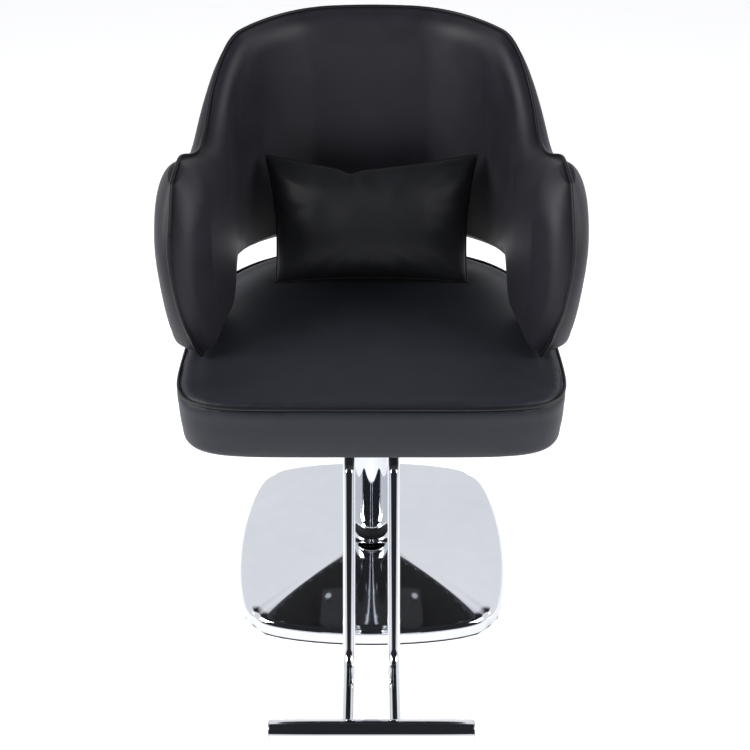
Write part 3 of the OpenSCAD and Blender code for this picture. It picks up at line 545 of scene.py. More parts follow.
def line_object(name: str, path: np.ndarray, closed: bool = True) -> bpy.types.Object:
    """Makes an object of edges along a path in millimetres."""
    count = len(path)
    mesh = bpy.data.meshes.new(name)
    edges = [(i, (i + 1) % count) for i in range(count if closed else count - 1)]
    mesh.from_pydata((np.asarray(path) * MM).tolist(), edges, [])
    return link(name, mesh)


def sweep(name: str, path: np.ndarray, radius: float, finish: Finish, closed: bool = True, step: float = 3.0,
          sides: int = 12) -> bpy.types.Object:
    """Sweeps a round bar or cord along a path.

    Args:
        name: the piece's name.
        path: points in millimetres, N by 3.
        radius: radius of the section in millimetres.
        finish: its finish.
        closed: the path returns to its start; otherwise its ends are capped.
        step: spacing along the path in millimetres.
        sides: sides of the section.

    Returns:
        The object.
    """
    piece = line_object(name, path, closed)
    run_tree(piece, sweep_tree(), {"Radius": radius * MM, "Sides": sides, "Step": step * MM, "Caps": not closed,
                                   "Material": finish.material()})
    face_outwards(piece)
    piece.data.shade_smooth()
    piece.data.set_sharp_from_angle(angle=math.radians(60))
    return piece


# ------------------------------------------------------------------ cloth


@dataclass(frozen=True)
class Inflation:
    """How a padded skin is blown up.

    Attributes:
        pressure: the cloth's inner pressure.
        cap: the most that a point may move, in millimetres.
        frames: steps of the simulation.
        stiffness: tension and compression stiffness.
        bending: bending stiffness.
    """

    pressure: float = 4.0
    cap: float = 8.0
    frames: int = 20
    stiffness: float = 15.0
    bending: float = 0.5

    def run(self, piece: bpy.types.Object, pinned: np.ndarray) -> None:
        """Simulates the skin and keeps the result as its mesh.

        Args:
            piece: a closed mesh object.
            pinned: pin weight of each point, from 0 to 1.
        """
        start = positions(piece.data)
        group = piece.vertex_groups.new(name="pinned")
        for weight in np.unique(np.round(pinned, 2)):
            if weight > 0:
                group.add(np.nonzero(np.round(pinned, 2) == weight)[0].tolist(), float(weight), "REPLACE")
        cloth = piece.modifiers.new("cloth", "CLOTH")
        rule = cloth.settings
        rule.vertex_group_mass = group.name
        rule.use_pressure = True
        rule.uniform_pressure_force = self.pressure
        rule.effector_weights.gravity = 0.0
        rule.tension_stiffness = rule.compression_stiffness = self.stiffness
        rule.bending_stiffness = self.bending
        rule.quality = 6
        cloth.collision_settings.use_collision = False
        cloth.point_cache.frame_start, cloth.point_cache.frame_end = 1, self.frames
        scene = bpy.context.scene
        for step in range(1, self.frames + 1):
            scene.frame_set(step)
        graph = bpy.context.evaluated_depsgraph_get()
        moved = positions(piece.evaluated_get(graph).data) - start
        length = np.linalg.norm(moved, axis=1, keepdims=True)
        moved *= np.minimum(1.0, self.cap * MM / np.maximum(length, 1e-9))
        piece.modifiers.clear()
        piece.vertex_groups.clear()
        scene.frame_set(1)
        set_positions(piece.data, start + moved)


def remesh(piece: bpy.types.Object, voxel: float) -> None:
    """Remeshes a closed piece into even quads of this size in millimetres."""
    step = piece.modifiers.new("remesh", "REMESH")
    step.mode = "VOXEL"
    step.voxel_size = voxel * MM
    step.use_smooth_shade = True
    settle(piece)


def waves(points: np.ndarray, scale: float, turn: float = 0.0) -> np.ndarray:
    """Smooth noise at each point, from about -1 to 1.

    Args:
        points: N by 3, in millimetres.
        scale: size of the noise in millimetres.
        turn: shift that gives another pattern.

    Returns:
        N values.
    """
    return np.array([noise.noise(Vector(p) / scale + Vector((turn, SEED, 0))) for p in points.reshape(-1, 3)]) \
        .reshape(points.shape[:-1])


# ------------------------------------------------------------------ base


@dataclass
class Base:
    """Square pressed cover over the floor plate, with the pump's neck in its middle."""

    half: float = 231.0
    power: float = 13.0
    bow: float = 33.0
    dome_h: float = 46.0
    fold_h: float = 28.0
    fold_in: float = 12.0
    wall: float = 1.5
    edging_h: float = 3.5
    neck_r: float = 28.6
    neck_top: float = 50.6
    slot_half: float = 10.0
    slot_y: tuple[float, float] = (53.0, 93.0)
    lip: float = 1.6
    lip_corner: float = 4.0
    lip_fall: float = 0.085
    sides: int = 288

    def ring(self, half: float, power: float, z: float) -> np.ndarray:
        """Closed ring of points on a square whose sides bow out between tight corners."""
        a = np.linspace(0, 2 * math.pi, self.sides, endpoint=False)
        r = 1 / power_norm(np.cos(a), np.sin(a), power)
        across = np.minimum(np.abs(np.cos(a)), np.abs(np.sin(a))) * r
        r = half * r * (1 - self.bow / self.half * min(1, (power - 2) / (self.power - 2)) * across ** 2)
        return np.stack([r * np.cos(a), r * np.sin(a), np.full_like(a, z)], 1)

    def skin(self, t: float) -> list[np.ndarray]:
        """Rings of the cover, from its collar to the skirt's edge, set in by t."""
        inner, fold = self.neck_r + 0.6, self.half - self.fold_in
        rings = [self.ring(r + 0.4 * t, 2.0, z - t * 0.6) for r, z in
                 ((inner, self.neck_top - 1.1), (inner + 0.7, self.neck_top - 0.3), (inner + 1.7, self.neck_top - 0.5),
                  (inner + 3.0, self.neck_top - 1.8), (inner + 4.4, self.dome_h + 1.2),
                  (inner + 6.6, self.dome_h + 0.1))]
        for k in np.linspace(0.05, 0.97, 40):
            rings.append(self.ring(mix(inner, fold, k), mix(2.0, self.power, smooth(k * 5)),
                                   mix(self.dome_h, self.fold_h, k) - t))
        for a in np.radians(np.linspace(12, 88, 9)):
            rings.append(self.ring(fold + (self.fold_in - t) * math.sin(a), self.power,
                                   self.fold_h - t - (self.fold_h - t) * 0.5 * (1 - math.cos(a))))
        low = self.fold_h * 0.5
        for k in (0.35, 0.7, 1.0):
            rings.append(self.ring(self.half - t, self.power, mix(low, self.edging_h, k)))
        return rings

    def cover(self) -> bpy.types.Object:
        """The chromed cover, cut for the pedal."""
        rings = np.array(self.skin(0.0) + self.skin(self.wall)[::-1])
        piece = make_object("chrome_base_cover", rings, grid_faces(len(rings), self.sides, True, True), CHROME, 35)
        face_outwards(piece)
        y0, y1 = self.slot_y
        box = np.array([[x, y, z] for z in (15, 90) for y in (y0, y1) for x in (-self.slot_half, self.slot_half)])
        cutter = make_object("slot_cutter", box, [(0, 2, 3, 1), (4, 5, 7, 6), (0, 1, 5, 4), (2, 6, 7, 3),
                                                  (0, 4, 6, 2), (1, 3, 7, 5)])
        face_outwards(cutter)
        cut = piece.modifiers.new("slot", "BOOLEAN")
        cut.object, cut.operation, cut.solver = cutter, "DIFFERENCE", "EXACT"
        settle(piece)
        bpy.data.objects.remove(cutter)
        piece.data.shade_smooth()
        piece.data.set_sharp_from_angle(angle=math.radians(35))
        return piece

    def build(self) -> list[bpy.types.Object]:
        """Builds and places the base's pieces."""
        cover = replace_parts(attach(self.cover(), "base"), "base_cover")
        (y0, y1), corner, h = self.slot_y, self.lip_corner, self.dome_h - 1.2
        outline = []
        for cx, cy, start in ((self.slot_half - corner, y1 - corner, 0),
                              (-self.slot_half + corner, y1 - corner, 90),
                              (-self.slot_half + corner, y0 + corner, 180),
                              (self.slot_half - corner, y0 + corner, 270)):
            for a in np.radians(np.linspace(start, start + 90, 7)):
                y = cy + corner * math.sin(a)
                outline.append((cx + corner * math.cos(a), y, h - (y - 30) * self.lip_fall))
        grommet = sweep("slot_grommet", np.array(outline), self.lip, RUBBER, step=1.5, sides=10)
        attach(grommet, "base")
        return [cover, grommet]


# ------------------------------------------------------------------ column and footrest


@dataclass
class Column:
    """Chromed sleeve that hides the lift cylinder."""

    outer_r: float = 30.5
    wall: float = 1.5
    foot_z: float = 73.0
    top_z: float = 364.95

    def build(self) -> list[bpy.types.Object]:
        """Builds and places the sleeve, with a rolled lower rim."""
        r, i, z, t = self.outer_r, self.outer_r - self.wall, self.foot_z, self.top_z
        roll = [(r - 0.35, z), (r - 0.05, z + 0.5), (r, z + 1.6), (r, z + 2.4), (r - 0.5, z + 2.9), (r - 0.5, z + 4.2),
                (r, z + 4.8)]
        profile = [(i, t), (i, z + 2), (i + 0.3, z + 0.3)] + roll
        profile += [(r, mix(z, t, k)) for k in (0.1, 0.5, 0.9)] + [(r, t)]
        sleeve = turned("chrome_sleeve", profile, CHROME, sides=128, sharp=50)
        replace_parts(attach(sleeve, "seat"), "sleeve")
        return [sleeve]


@dataclass
class Footrest:
    """Two bent tubes that carry a straight foot bar."""

    tube_d: float = 18.0
    gap: float = 64.4
    bend_y: float = 216.0
    drop: float = 246.0
    lean: float = 31.6
    run: float = 122.0
    bend_r: float = 34.0
    bar_len: float = 275.0
    bar_d: float = 30.0
    wall: float = 1.5
    start_y: float = 44.5
    tube_z: float = 351.0

    @property
    def lower_y(self) -> float:
        """How far forward the corner of the lower bend stands."""
        return self.bend_y + self.drop * math.tan(math.radians(self.lean))

    @property
    def bar_y(self) -> float:
        """How far forward the foot bar's axis stands."""
        return self.lower_y + self.run

    def path(self, x: float) -> np.ndarray:
        """Centreline of one tube, from under the seat to the foot bar."""
        turn = math.radians(90 - self.lean)
        bend_set = self.bend_r * math.tan(turn / 2)
        lower, r, z = self.lower_y, self.bend_r, self.tube_z
        steps = np.linspace(0, turn, 25)
        points = [(x, -self.start_y, z), (x, -(self.bend_y - bend_set) * 0.6, z)]
        points += [(x, bend_set - self.bend_y - r * math.sin(a), z + r * (math.cos(a) - 1)) for a in steps]
        points += [(x, r * math.sin(a) - lower - bend_set, z + r * (1 - math.cos(a)) - self.drop) for a in steps[::-1]]
        points += [(x, -mix(lower + bend_set, self.bar_y, 0.5), z - self.drop),
                   (x, -self.bar_y + self.bar_d * 0.36, z - self.drop)]
        return np.array(points)

    def bar(self) -> bpy.types.Object:
        """The foot bar: a tube with eased ends, turned and laid across."""
        r, i, h, e = self.bar_d / 2, self.bar_d / 2 - self.wall, self.bar_len / 2, 0.5
        profile = [(i, -h), (r - e, -h), (r - e * 0.3, -h + e * 0.3), (r, -h + e), (r, -h * 0.5), (r, 0), (r, h * 0.5),
                   (r, h - e), (r - e * 0.3, h - e * 0.3), (r - e, h), (i, h), (i, 0)]
        return self.across(turned("chrome_foot_bar", profile, CHROME, sides=96, sharp=50))

    def caps(self) -> bpy.types.Object:
        """Two shallow domed caps in the bar's ends."""
        r, h = self.bar_d / 2 - 0.5, self.bar_len / 2
        dome = [(r - 1.0, h - 6), (r - 1.0, h + 0.02), (r, h + 0.02), (r, h + 0.5), (r - 0.6, h + 1.1)]
        dome += [(r * k, h + 1.1 + 0.4 * (1 - k * k)) for k in (0.75, 0.5, 0.25, 0.02)]
        left = turned("satin_bar_caps", dome + [(0.3, h - 6)], SATIN, sides=64)
        points = positions(left.data) / MM
        both = np.concatenate([points, points * (1, 1, -1)])
        faces = [tuple(p.vertices) for p in left.data.polygons]
        faces += [tuple(len(points) + v for v in reversed(f)) for f in faces]
        bpy.data.objects.remove(left)
        return self.across(make_object("satin_bar_caps", both, faces, SATIN))

    def across(self, piece: bpy.types.Object) -> bpy.types.Object:
        """Lays a piece that stands on the Z axis across the front, at the bar's place."""
        p = positions(piece.data)
        bar_z = (self.tube_z - self.drop) * MM
        set_positions(piece.data, np.stack([p[:, 2], p[:, 1] - self.bar_y * MM, bar_z - p[:, 0]], 1))
        return piece

    def build(self) -> list[bpy.types.Object]:
        """Builds and places the tubes, the bar and its caps."""
        made = []
        for side, word in ((-1, "left"), (1, "right")):
            tube = sweep(f"chrome_footrest_tube_{word}", self.path(side * self.gap / 2), self.tube_d / 2, CHROME,
                         closed=False, step=3.0, sides=40)
            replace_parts(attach(tube, "seat"), f"footrest_tube_{word}")
            made.append(tube)
        for piece, node in ((self.bar(), "foot_bar"), (self.caps(), "bar_caps")):
            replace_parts(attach(piece, "seat"), node)
            made.append(piece)
        return made


# ------------------------------------------------------------------ seat cushion


def crown_at(d: float) -> float:
    """Height of the seat's crown at the distance d in from its edge."""
    return SEAT_CROWN * (1 - (1 - min(d, CROWN_REACH) / CROWN_REACH) ** 3)


@dataclass
class SeatCushion:
    """Boxed seat cushion: a crowned top panel and a boxing strip, with piping between them."""

    seat_h: float = SEAT_H
    half: float = SEAT_HALF
    front: float = 270.0
    rear: float = 235.0
    boxing_h: float = 86.0
    cord_r: float = CORD_R
    middle: float = -60.0
    front_power: float = 7.0
    rear_power: float = 2.6
    under_round: float = 14.0
    seam_depth: float = 2.6
    seam_reach: float = 4.0
    pucker_reach: float = 13.0
    staple_pitch: float = 28.0
    staple_crown: float = 9.0
    staple_wire: float = 0.7
    voxel: float = 5.0
    puff: Inflation = field(default_factory=lambda: Inflation(pressure=4.0, cap=6.0, frames=18))

    def ring(self, inset: float, z: float, count: int = 240) -> np.ndarray:
        """Closed ring of points on the seat's outline, set in by inset."""
        a = np.linspace(0, 2 * math.pi, count, endpoint=False)
        c, s = np.cos(a), np.sin(a)
        ax = self.half - inset
        ay = np.where(s < 0, self.front + self.middle, self.rear - self.middle) - inset
        p = np.where(s < 0, self.front_power, self.rear_power)
        r = 1 / ((np.abs(c / ax) ** p + np.abs(s / ay) ** p) ** (1 / p))
        return np.stack([r * c, self.middle + r * s, np.full_like(a, z)], 1)

    def rings(self) -> list[np.ndarray]:
        """Rings of the whole skin, from the underside's middle to the top's."""
        under, u = self.seat_h - self.boxing_h, self.under_round
        rings = [self.ring(d, under) for d in (200, 120, 60, 22)]
        for a in np.radians(np.linspace(0, 90, 8)):
            rings.append(self.ring(u * (1 - math.sin(a)), under + u - u * math.cos(a)))
        top = self.seat_h - self.cord_r
        for k in np.linspace(0.15, 0.95, 8):
            rings.append(self.ring(-1.5 * math.sin(math.pi * k), mix(under + u, top, k)))
        rings.append(self.ring(1.0, self.seat_h))
        for d in np.concatenate([np.linspace(5, 40, 8), np.linspace(52, 232, 16)]):
            rings.append(self.ring(d, self.seat_h + 1.4 + crown_at(d)))
        return rings

    def skin(self) -> bpy.types.Object:
        """The stuffed cushion with its seam drawn in."""
        rings = np.array(self.rings())
        count = rings.shape[1]
        faces = grid_faces(len(rings), count, closed_cols=True)
        faces.append(tuple(range(count - 1, -1, -1)))
        faces.append(tuple((len(rings) - 1) * count + i for i in range(count)))
        piece = make_object("leatherette_seat_cushion", rings, faces, SEAT_SKIN)
        face_outwards(piece)
        remesh(piece, self.voxel)
        rest = positions(piece.data) / MM
        seam_far, edge = np.abs(rest[:, 2] - self.seat_h), self.edge_distance(rest)
        held = np.where(rest[:, 2] < self.seat_h - self.boxing_h + 4, 1.0, 0.0)
        held = np.maximum(held, np.where((seam_far < 5) & (edge < 8), 1.0, 0.0))
        self.puff.run(piece, held)
        refine(piece)
        self.draw_seam(piece)
        piece.data.materials.clear()
        piece.data.materials.append(SEAT_SKIN.material())
        return piece

    def edge_distance(self, points: np.ndarray) -> np.ndarray:
        """Rough distance in millimetres from each point in to the seat's outline."""
        x, y = points[:, 0], points[:, 1] - self.middle
        ay = np.where(y < 0, self.front + self.middle, self.rear - self.middle)
        p = np.where(y < 0, self.front_power, self.rear_power)
        share = (np.abs(x / self.half) ** p + np.abs(y / ay) ** p) ** (1 / p)
        return (1 - share) * np.minimum(self.half, ay)

    def draw_seam(self, piece: bpy.types.Object) -> None:
        """Draws the skin in at the seam, with small puckers that fade away from it."""
        p = positions(piece.data) / MM
        path = self.ring(0.5, self.seat_h, 960)
        tree = KDTree(len(path))
        for i, q in enumerate(path):
            tree.insert(q, i)
        tree.balance()
        far = np.array([tree.find(q)[2] for q in p])
        near = far < 40
        normals = point_values(piece.data, "normal")
        ripple = np.zeros(len(p))
        ripple[near] = waves(p[near] * (1, 1, 0.2), 11.0) * 0.7 + waves(p[near] * (1, 1, 0.2), 26.0, 3.0) * 0.9
        depth = self.seam_depth * np.exp(-(far / self.seam_reach) ** 2) - ripple * np.exp(-far / self.pucker_reach)
        depth -= 1.4 * np.exp(-((far - 13) / 9.0) ** 2)
        broad = waves(p, 120.0, 9.0) * 1.6 * smooth((p[:, 2] - self.seat_h + 60) / 60)
        set_positions(piece.data, (p - normals * (depth - broad)[:, None]) * MM)

    def build(self) -> list[bpy.types.Object]:
        """Builds and places the cushion, its piping and the staples below it."""
        cushion = self.skin()
        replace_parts(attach(cushion, "seat"), "seat_top_panel", "seat_boxing", "seat_foam")
        path = self.ring(0.6, self.seat_h, 480)
        path[:, 2] += waves(path, 40.0, 5.0) * 0.5
        piping = sweep("leatherette_seat_piping", path, self.cord_r, PIPING_SKIN, step=3.0, sides=12)
        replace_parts(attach(piping, "seat"), "seat_piping")
        loop = self.ring(29.0, self.seat_h - self.boxing_h - 1.15, 480)
        row = line_object("bottom_cloth_staples", loop)
        run_tree(row, staple_tree(), {"Pitch": self.staple_pitch * MM, "Crown": self.staple_crown * MM,
                                      "Wire": self.staple_wire * MM, "Material": ZINC.material()})
        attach(row, "seat")
        return [cushion, piping, row]


# ------------------------------------------------------------------ tub shell


@dataclass
class TubShell:
    """Back and arms in one bent, padded shell with piping along its edge."""

    seat_h: float = SEAT_H
    back_rise: float = 392.0
    arm_rise: float = 275.0
    saddle_dip: float = 25.0
    shell_y: float = 268.0
    seat_half: float = SEAT_HALF
    arm_set: float = 26.0
    wrap_r: float = 185.0
    recline: float = 0.13
    arm_run: float = 272.8
    back_pad: float = 23.0
    arm_pad: float = 40.0
    outer_pad: float = 15.0
    arm_outer_pad: float = 33.0
    cord_r: float = CORD_R
    wrap_angle: float = math.radians(84)
    tuck_reach: float = 35.0
    inner_tuck: float = 0.7
    belly_fill: float = 0.25
    foot_in: float = 62.0
    belly_rise: float = 98.0
    gap_rise: float = 26.0
    side_rise: float = 60.0
    roll_top: float = 34.0
    roll_foot: float = 12.0
    roll_nose: float = 26.0
    roll_full: float = 58.0
    nose_h: float = 120.0
    seam_w: float = 1.5
    rows: int = 200
    cols: int = 44
    puff: Inflation = field(default_factory=lambda: Inflation(pressure=1.5, cap=2.5, frames=8, bending=4.0))

    def __post_init__(self) -> None:
        """Works out the levels and distances that follow from the sizes."""
        h = self.seat_h
        self.inset = self.cord_r + 0.8
        self.flat_half = self.seat_half - self.arm_set - self.wrap_r * math.sin(self.wrap_angle)
        foot_rise = self.inset / 2 + crown_at(self.foot_in)
        self.back_top, self.arm_top = h + self.back_rise, h + self.arm_rise
        self.saddle_z, self.foot_z = self.arm_top - self.saddle_dip, h + foot_rise + self.cord_r + 0.3
        self.wrap_end = self.flat_half + self.wrap_r * self.wrap_angle
        self.arm_end = self.wrap_end + self.arm_run
        self.shoulder_s, self.saddle_s = self.wrap_end - 111, self.wrap_end + 63
        self.arm_ref = self.arm_end - 46
        self.side_s, self.foot_s = self.wrap_end + 35, self.wrap_end + 119
        self.tuck_top, self.tuck_bottom, self.belly_z = h + 183, h - 7, h + self.belly_rise

    def point(self, s: np.ndarray, z: np.ndarray, w: np.ndarray | float) -> np.ndarray:
        """Points at s along the shell, z up and w towards the sitter from its middle surface."""
        side, a = np.where(s < 0, -1.0, 1.0), np.abs(s)
        h = np.clip((a - self.flat_half) / self.wrap_r, 0, self.wrap_angle)
        run, c, n = np.maximum(0, a - self.wrap_end), np.cos(h), np.sin(h)
        x = side * (np.minimum(a, self.flat_half) + self.wrap_r * n + run * c)
        y = self.shell_y - self.wrap_r * (1 - c) - run * n
        return np.stack([x - side * n * (w + self.tuck(z)),
                         y - c * w + self.recline * (z - self.seat_h - 23) * c * c, z], -1)

    def tuck(self, z: np.ndarray) -> np.ndarray:
        """How far an arm's lower part tucks inwards."""
        return self.tuck_reach * np.clip((self.tuck_top - z) / (self.tuck_top - self.tuck_bottom), 0, 1) ** 1.5

    def upper_z(self, s: np.ndarray) -> np.ndarray:
        """Upper edge: crowned back, fall to the saddle, rise to the arm."""
        a = np.abs(s)
        z = mix(self.back_top - 16 * (a / self.shoulder_s) ** 2, self.saddle_z,
                smooth((a - self.shoulder_s) / (self.saddle_s - self.shoulder_s)))
        z = z + self.saddle_dip * smooth((a - self.saddle_s) / (self.arm_ref - 42 - self.saddle_s))
        return z - 18 * np.maximum(0, (a - self.arm_ref + 60) / 60) ** 2

    def lower_z(self, s: np.ndarray) -> np.ndarray:
        """Lower edge: clear of the seat round the back, down to it under the arms."""
        a = np.abs(s)
        back = mix(self.seat_h + self.gap_rise, self.seat_h + self.side_rise, np.minimum(1, a / self.side_s) ** 3)
        return mix(back, self.foot_z, smooth((a - self.side_s) / (self.foot_s - self.side_s)))

    def front_s(self, z: np.ndarray) -> np.ndarray:
        """Front edge of an arm: a belly that falls back above and below."""
        b = self.belly_z
        return self.arm_end - np.where(z > b, 67 * ((z - b) / 170) ** 2, 26 * ((b - z) / 95) ** 2)

    def edges(self, s: np.ndarray, z: np.ndarray) -> tuple[np.ndarray, np.ndarray, np.ndarray]:
        """Distances down from the upper edge, up from the lower one and back from the front."""
        return self.upper_z(s) - z, z - self.lower_z(s), self.front_s(z) - np.abs(s)

    def arm_share(self, s: np.ndarray) -> np.ndarray:
        """0 on the back, 1 on an arm."""
        return smooth((np.abs(s) - self.shoulder_s - 40) / (self.saddle_s - self.shoulder_s))

    def edge_roll(self, s: np.ndarray, z: np.ndarray) -> np.ndarray:
        """Fall of the padding to nothing over the rolled edges."""
        def roll(d: np.ndarray, r: np.ndarray | float) -> np.ndarray:
            """Quarter-round over the distance r."""
            return np.sqrt(1 - (1 - np.clip(d / r, 0, 1)) ** 2)
        up, down, ahead = self.edges(s, z)
        g = self.inset
        top = mix(self.roll_top, self.roll_full, self.arm_share(s))
        nose = mix(self.roll_nose, self.roll_full, smooth((z - self.foot_z) / self.nose_h))
        return roll(up - g, top) * roll(down - g, self.roll_foot) * roll(ahead - g, nose)

    def puckers(self, s: np.ndarray, z: np.ndarray, turn: float) -> np.ndarray:
        """Small gathers along the seam, which run across it and fade within some 20 mm.

        Args:
            s, z: places on the shell.
            turn: shift of the pattern.

        Returns:
            Height in millimetres.
        """
        up, down, ahead = self.edges(s, z)
        zero = np.zeros_like(s)
        by_s, by_z = np.stack([s, zero, zero], -1), np.stack([zero, zero, z], -1)
        across = waves(by_s, 8.0, turn) + 0.8 * waves(by_s, 21.0, turn)
        along = waves(by_z, 7.0, turn + np.sign(turn)) + 0.8 * waves(by_z, 18.0, turn)
        lower = 1 + 1.6 * smooth((self.belly_z - z) / 70) * self.arm_share(s)
        height = 0.7 * across * (np.exp(-up / 12) + np.exp(-down / 9)) + 1.0 * along * lower * np.exp(-ahead / 11)
        return height * np.clip(np.minimum(np.minimum(up, down), ahead) / 3.0, 0, 1)

    def places(self, inset: float, rows: int, cols: int) -> tuple[np.ndarray, np.ndarray]:
        """Places on the shell, set in from its edge: rows along it and columns up it."""
        t = np.linspace(-1, 1, rows + 1)
        side, u = np.where(t < 0, -1.0, 1.0), np.sin(np.abs(t) * math.pi / 2)
        base = u * self.arm_ref
        v = (1 - np.cos(np.linspace(0, math.pi, cols + 1))) / 2
        z = mix((self.lower_z(base) + inset)[:, None], (self.upper_z(base) - inset)[:, None], v[None, :])
        s = side[:, None] * (base[:, None] + (u ** 6)[:, None] * (self.front_s(z) - inset - self.arm_ref))
        return s, z

    def skin(self) -> bpy.types.Object:
        """The padded shell, inner and outer panels joined at the seam."""
        s, z = self.places(self.inset * 0.6, self.rows, self.cols)
        share, full = self.arm_share(s), self.edge_roll(s, z)
        arm_inner = self.arm_pad - self.inner_tuck * self.tuck(z)
        arm_outer = self.arm_outer_pad + self.belly_fill * self.tuck(z)
        inner = self.seam_w + (mix(self.back_pad, arm_inner, share) - self.seam_w) * full
        outer = self.seam_w + (mix(self.outer_pad, arm_outer, share) - self.seam_w) * full
        inner = inner + self.puckers(s, z, 1.0)
        outer = outer + self.puckers(s, z, 5.0)
        points, faces = slab_mesh(self.point(s, z, inner), self.point(s, z, -outer))
        piece = make_object("leatherette_tub_shell", points, faces, SHELL_SKIN)
        face_outwards(piece)
        up, down, ahead = self.edges(s, z)
        near = np.minimum(np.minimum(up, down), ahead).ravel()
        held = np.clip(1.3 - near / 16, 0, 1)
        self.puff.run(piece, np.concatenate([held, held]))
        return refine(piece)

    def edge_path(self) -> np.ndarray:
        """Closed line of the seam round the shell's whole edge."""
        s, z = self.places(0.0, 400, 60)
        order = ([(i, -1) for i in range(401)] + [(-1, j) for j in range(59, -1, -1)]
                 + [(i, 0) for i in range(399, -1, -1)] + [(0, j) for j in range(1, 60)])
        s, z = (np.array([grid[i, j] for i, j in order]) for grid in (s, z))
        path = self.point(s, z, np.zeros_like(s))
        sway = waves(path, 16.0, 2.0) * 0.9 + waves(path, 45.0, 4.0) * 0.8
        lower = smooth((self.belly_z + 60 - z) / 80) * self.arm_share(s)
        path[:, 0] += np.sign(s) * sway * (0.4 + 1.1 * lower)
        return path

    def build(self) -> list[bpy.types.Object]:
        """Builds and places the shell and its piping."""
        shell = self.skin()
        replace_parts(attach(shell, "seat"), "shell_inner_panel", "shell_outer_panel", "shell_foam_inner",
                            "shell_foam_outer")
        piping = sweep("leatherette_shell_piping", self.edge_path(), self.cord_r, PIPING_SKIN, step=3.0, sides=12)
        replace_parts(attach(piping, "seat"), "shell_piping")
        return [shell, piping]


# ------------------------------------------------------------------ pillow


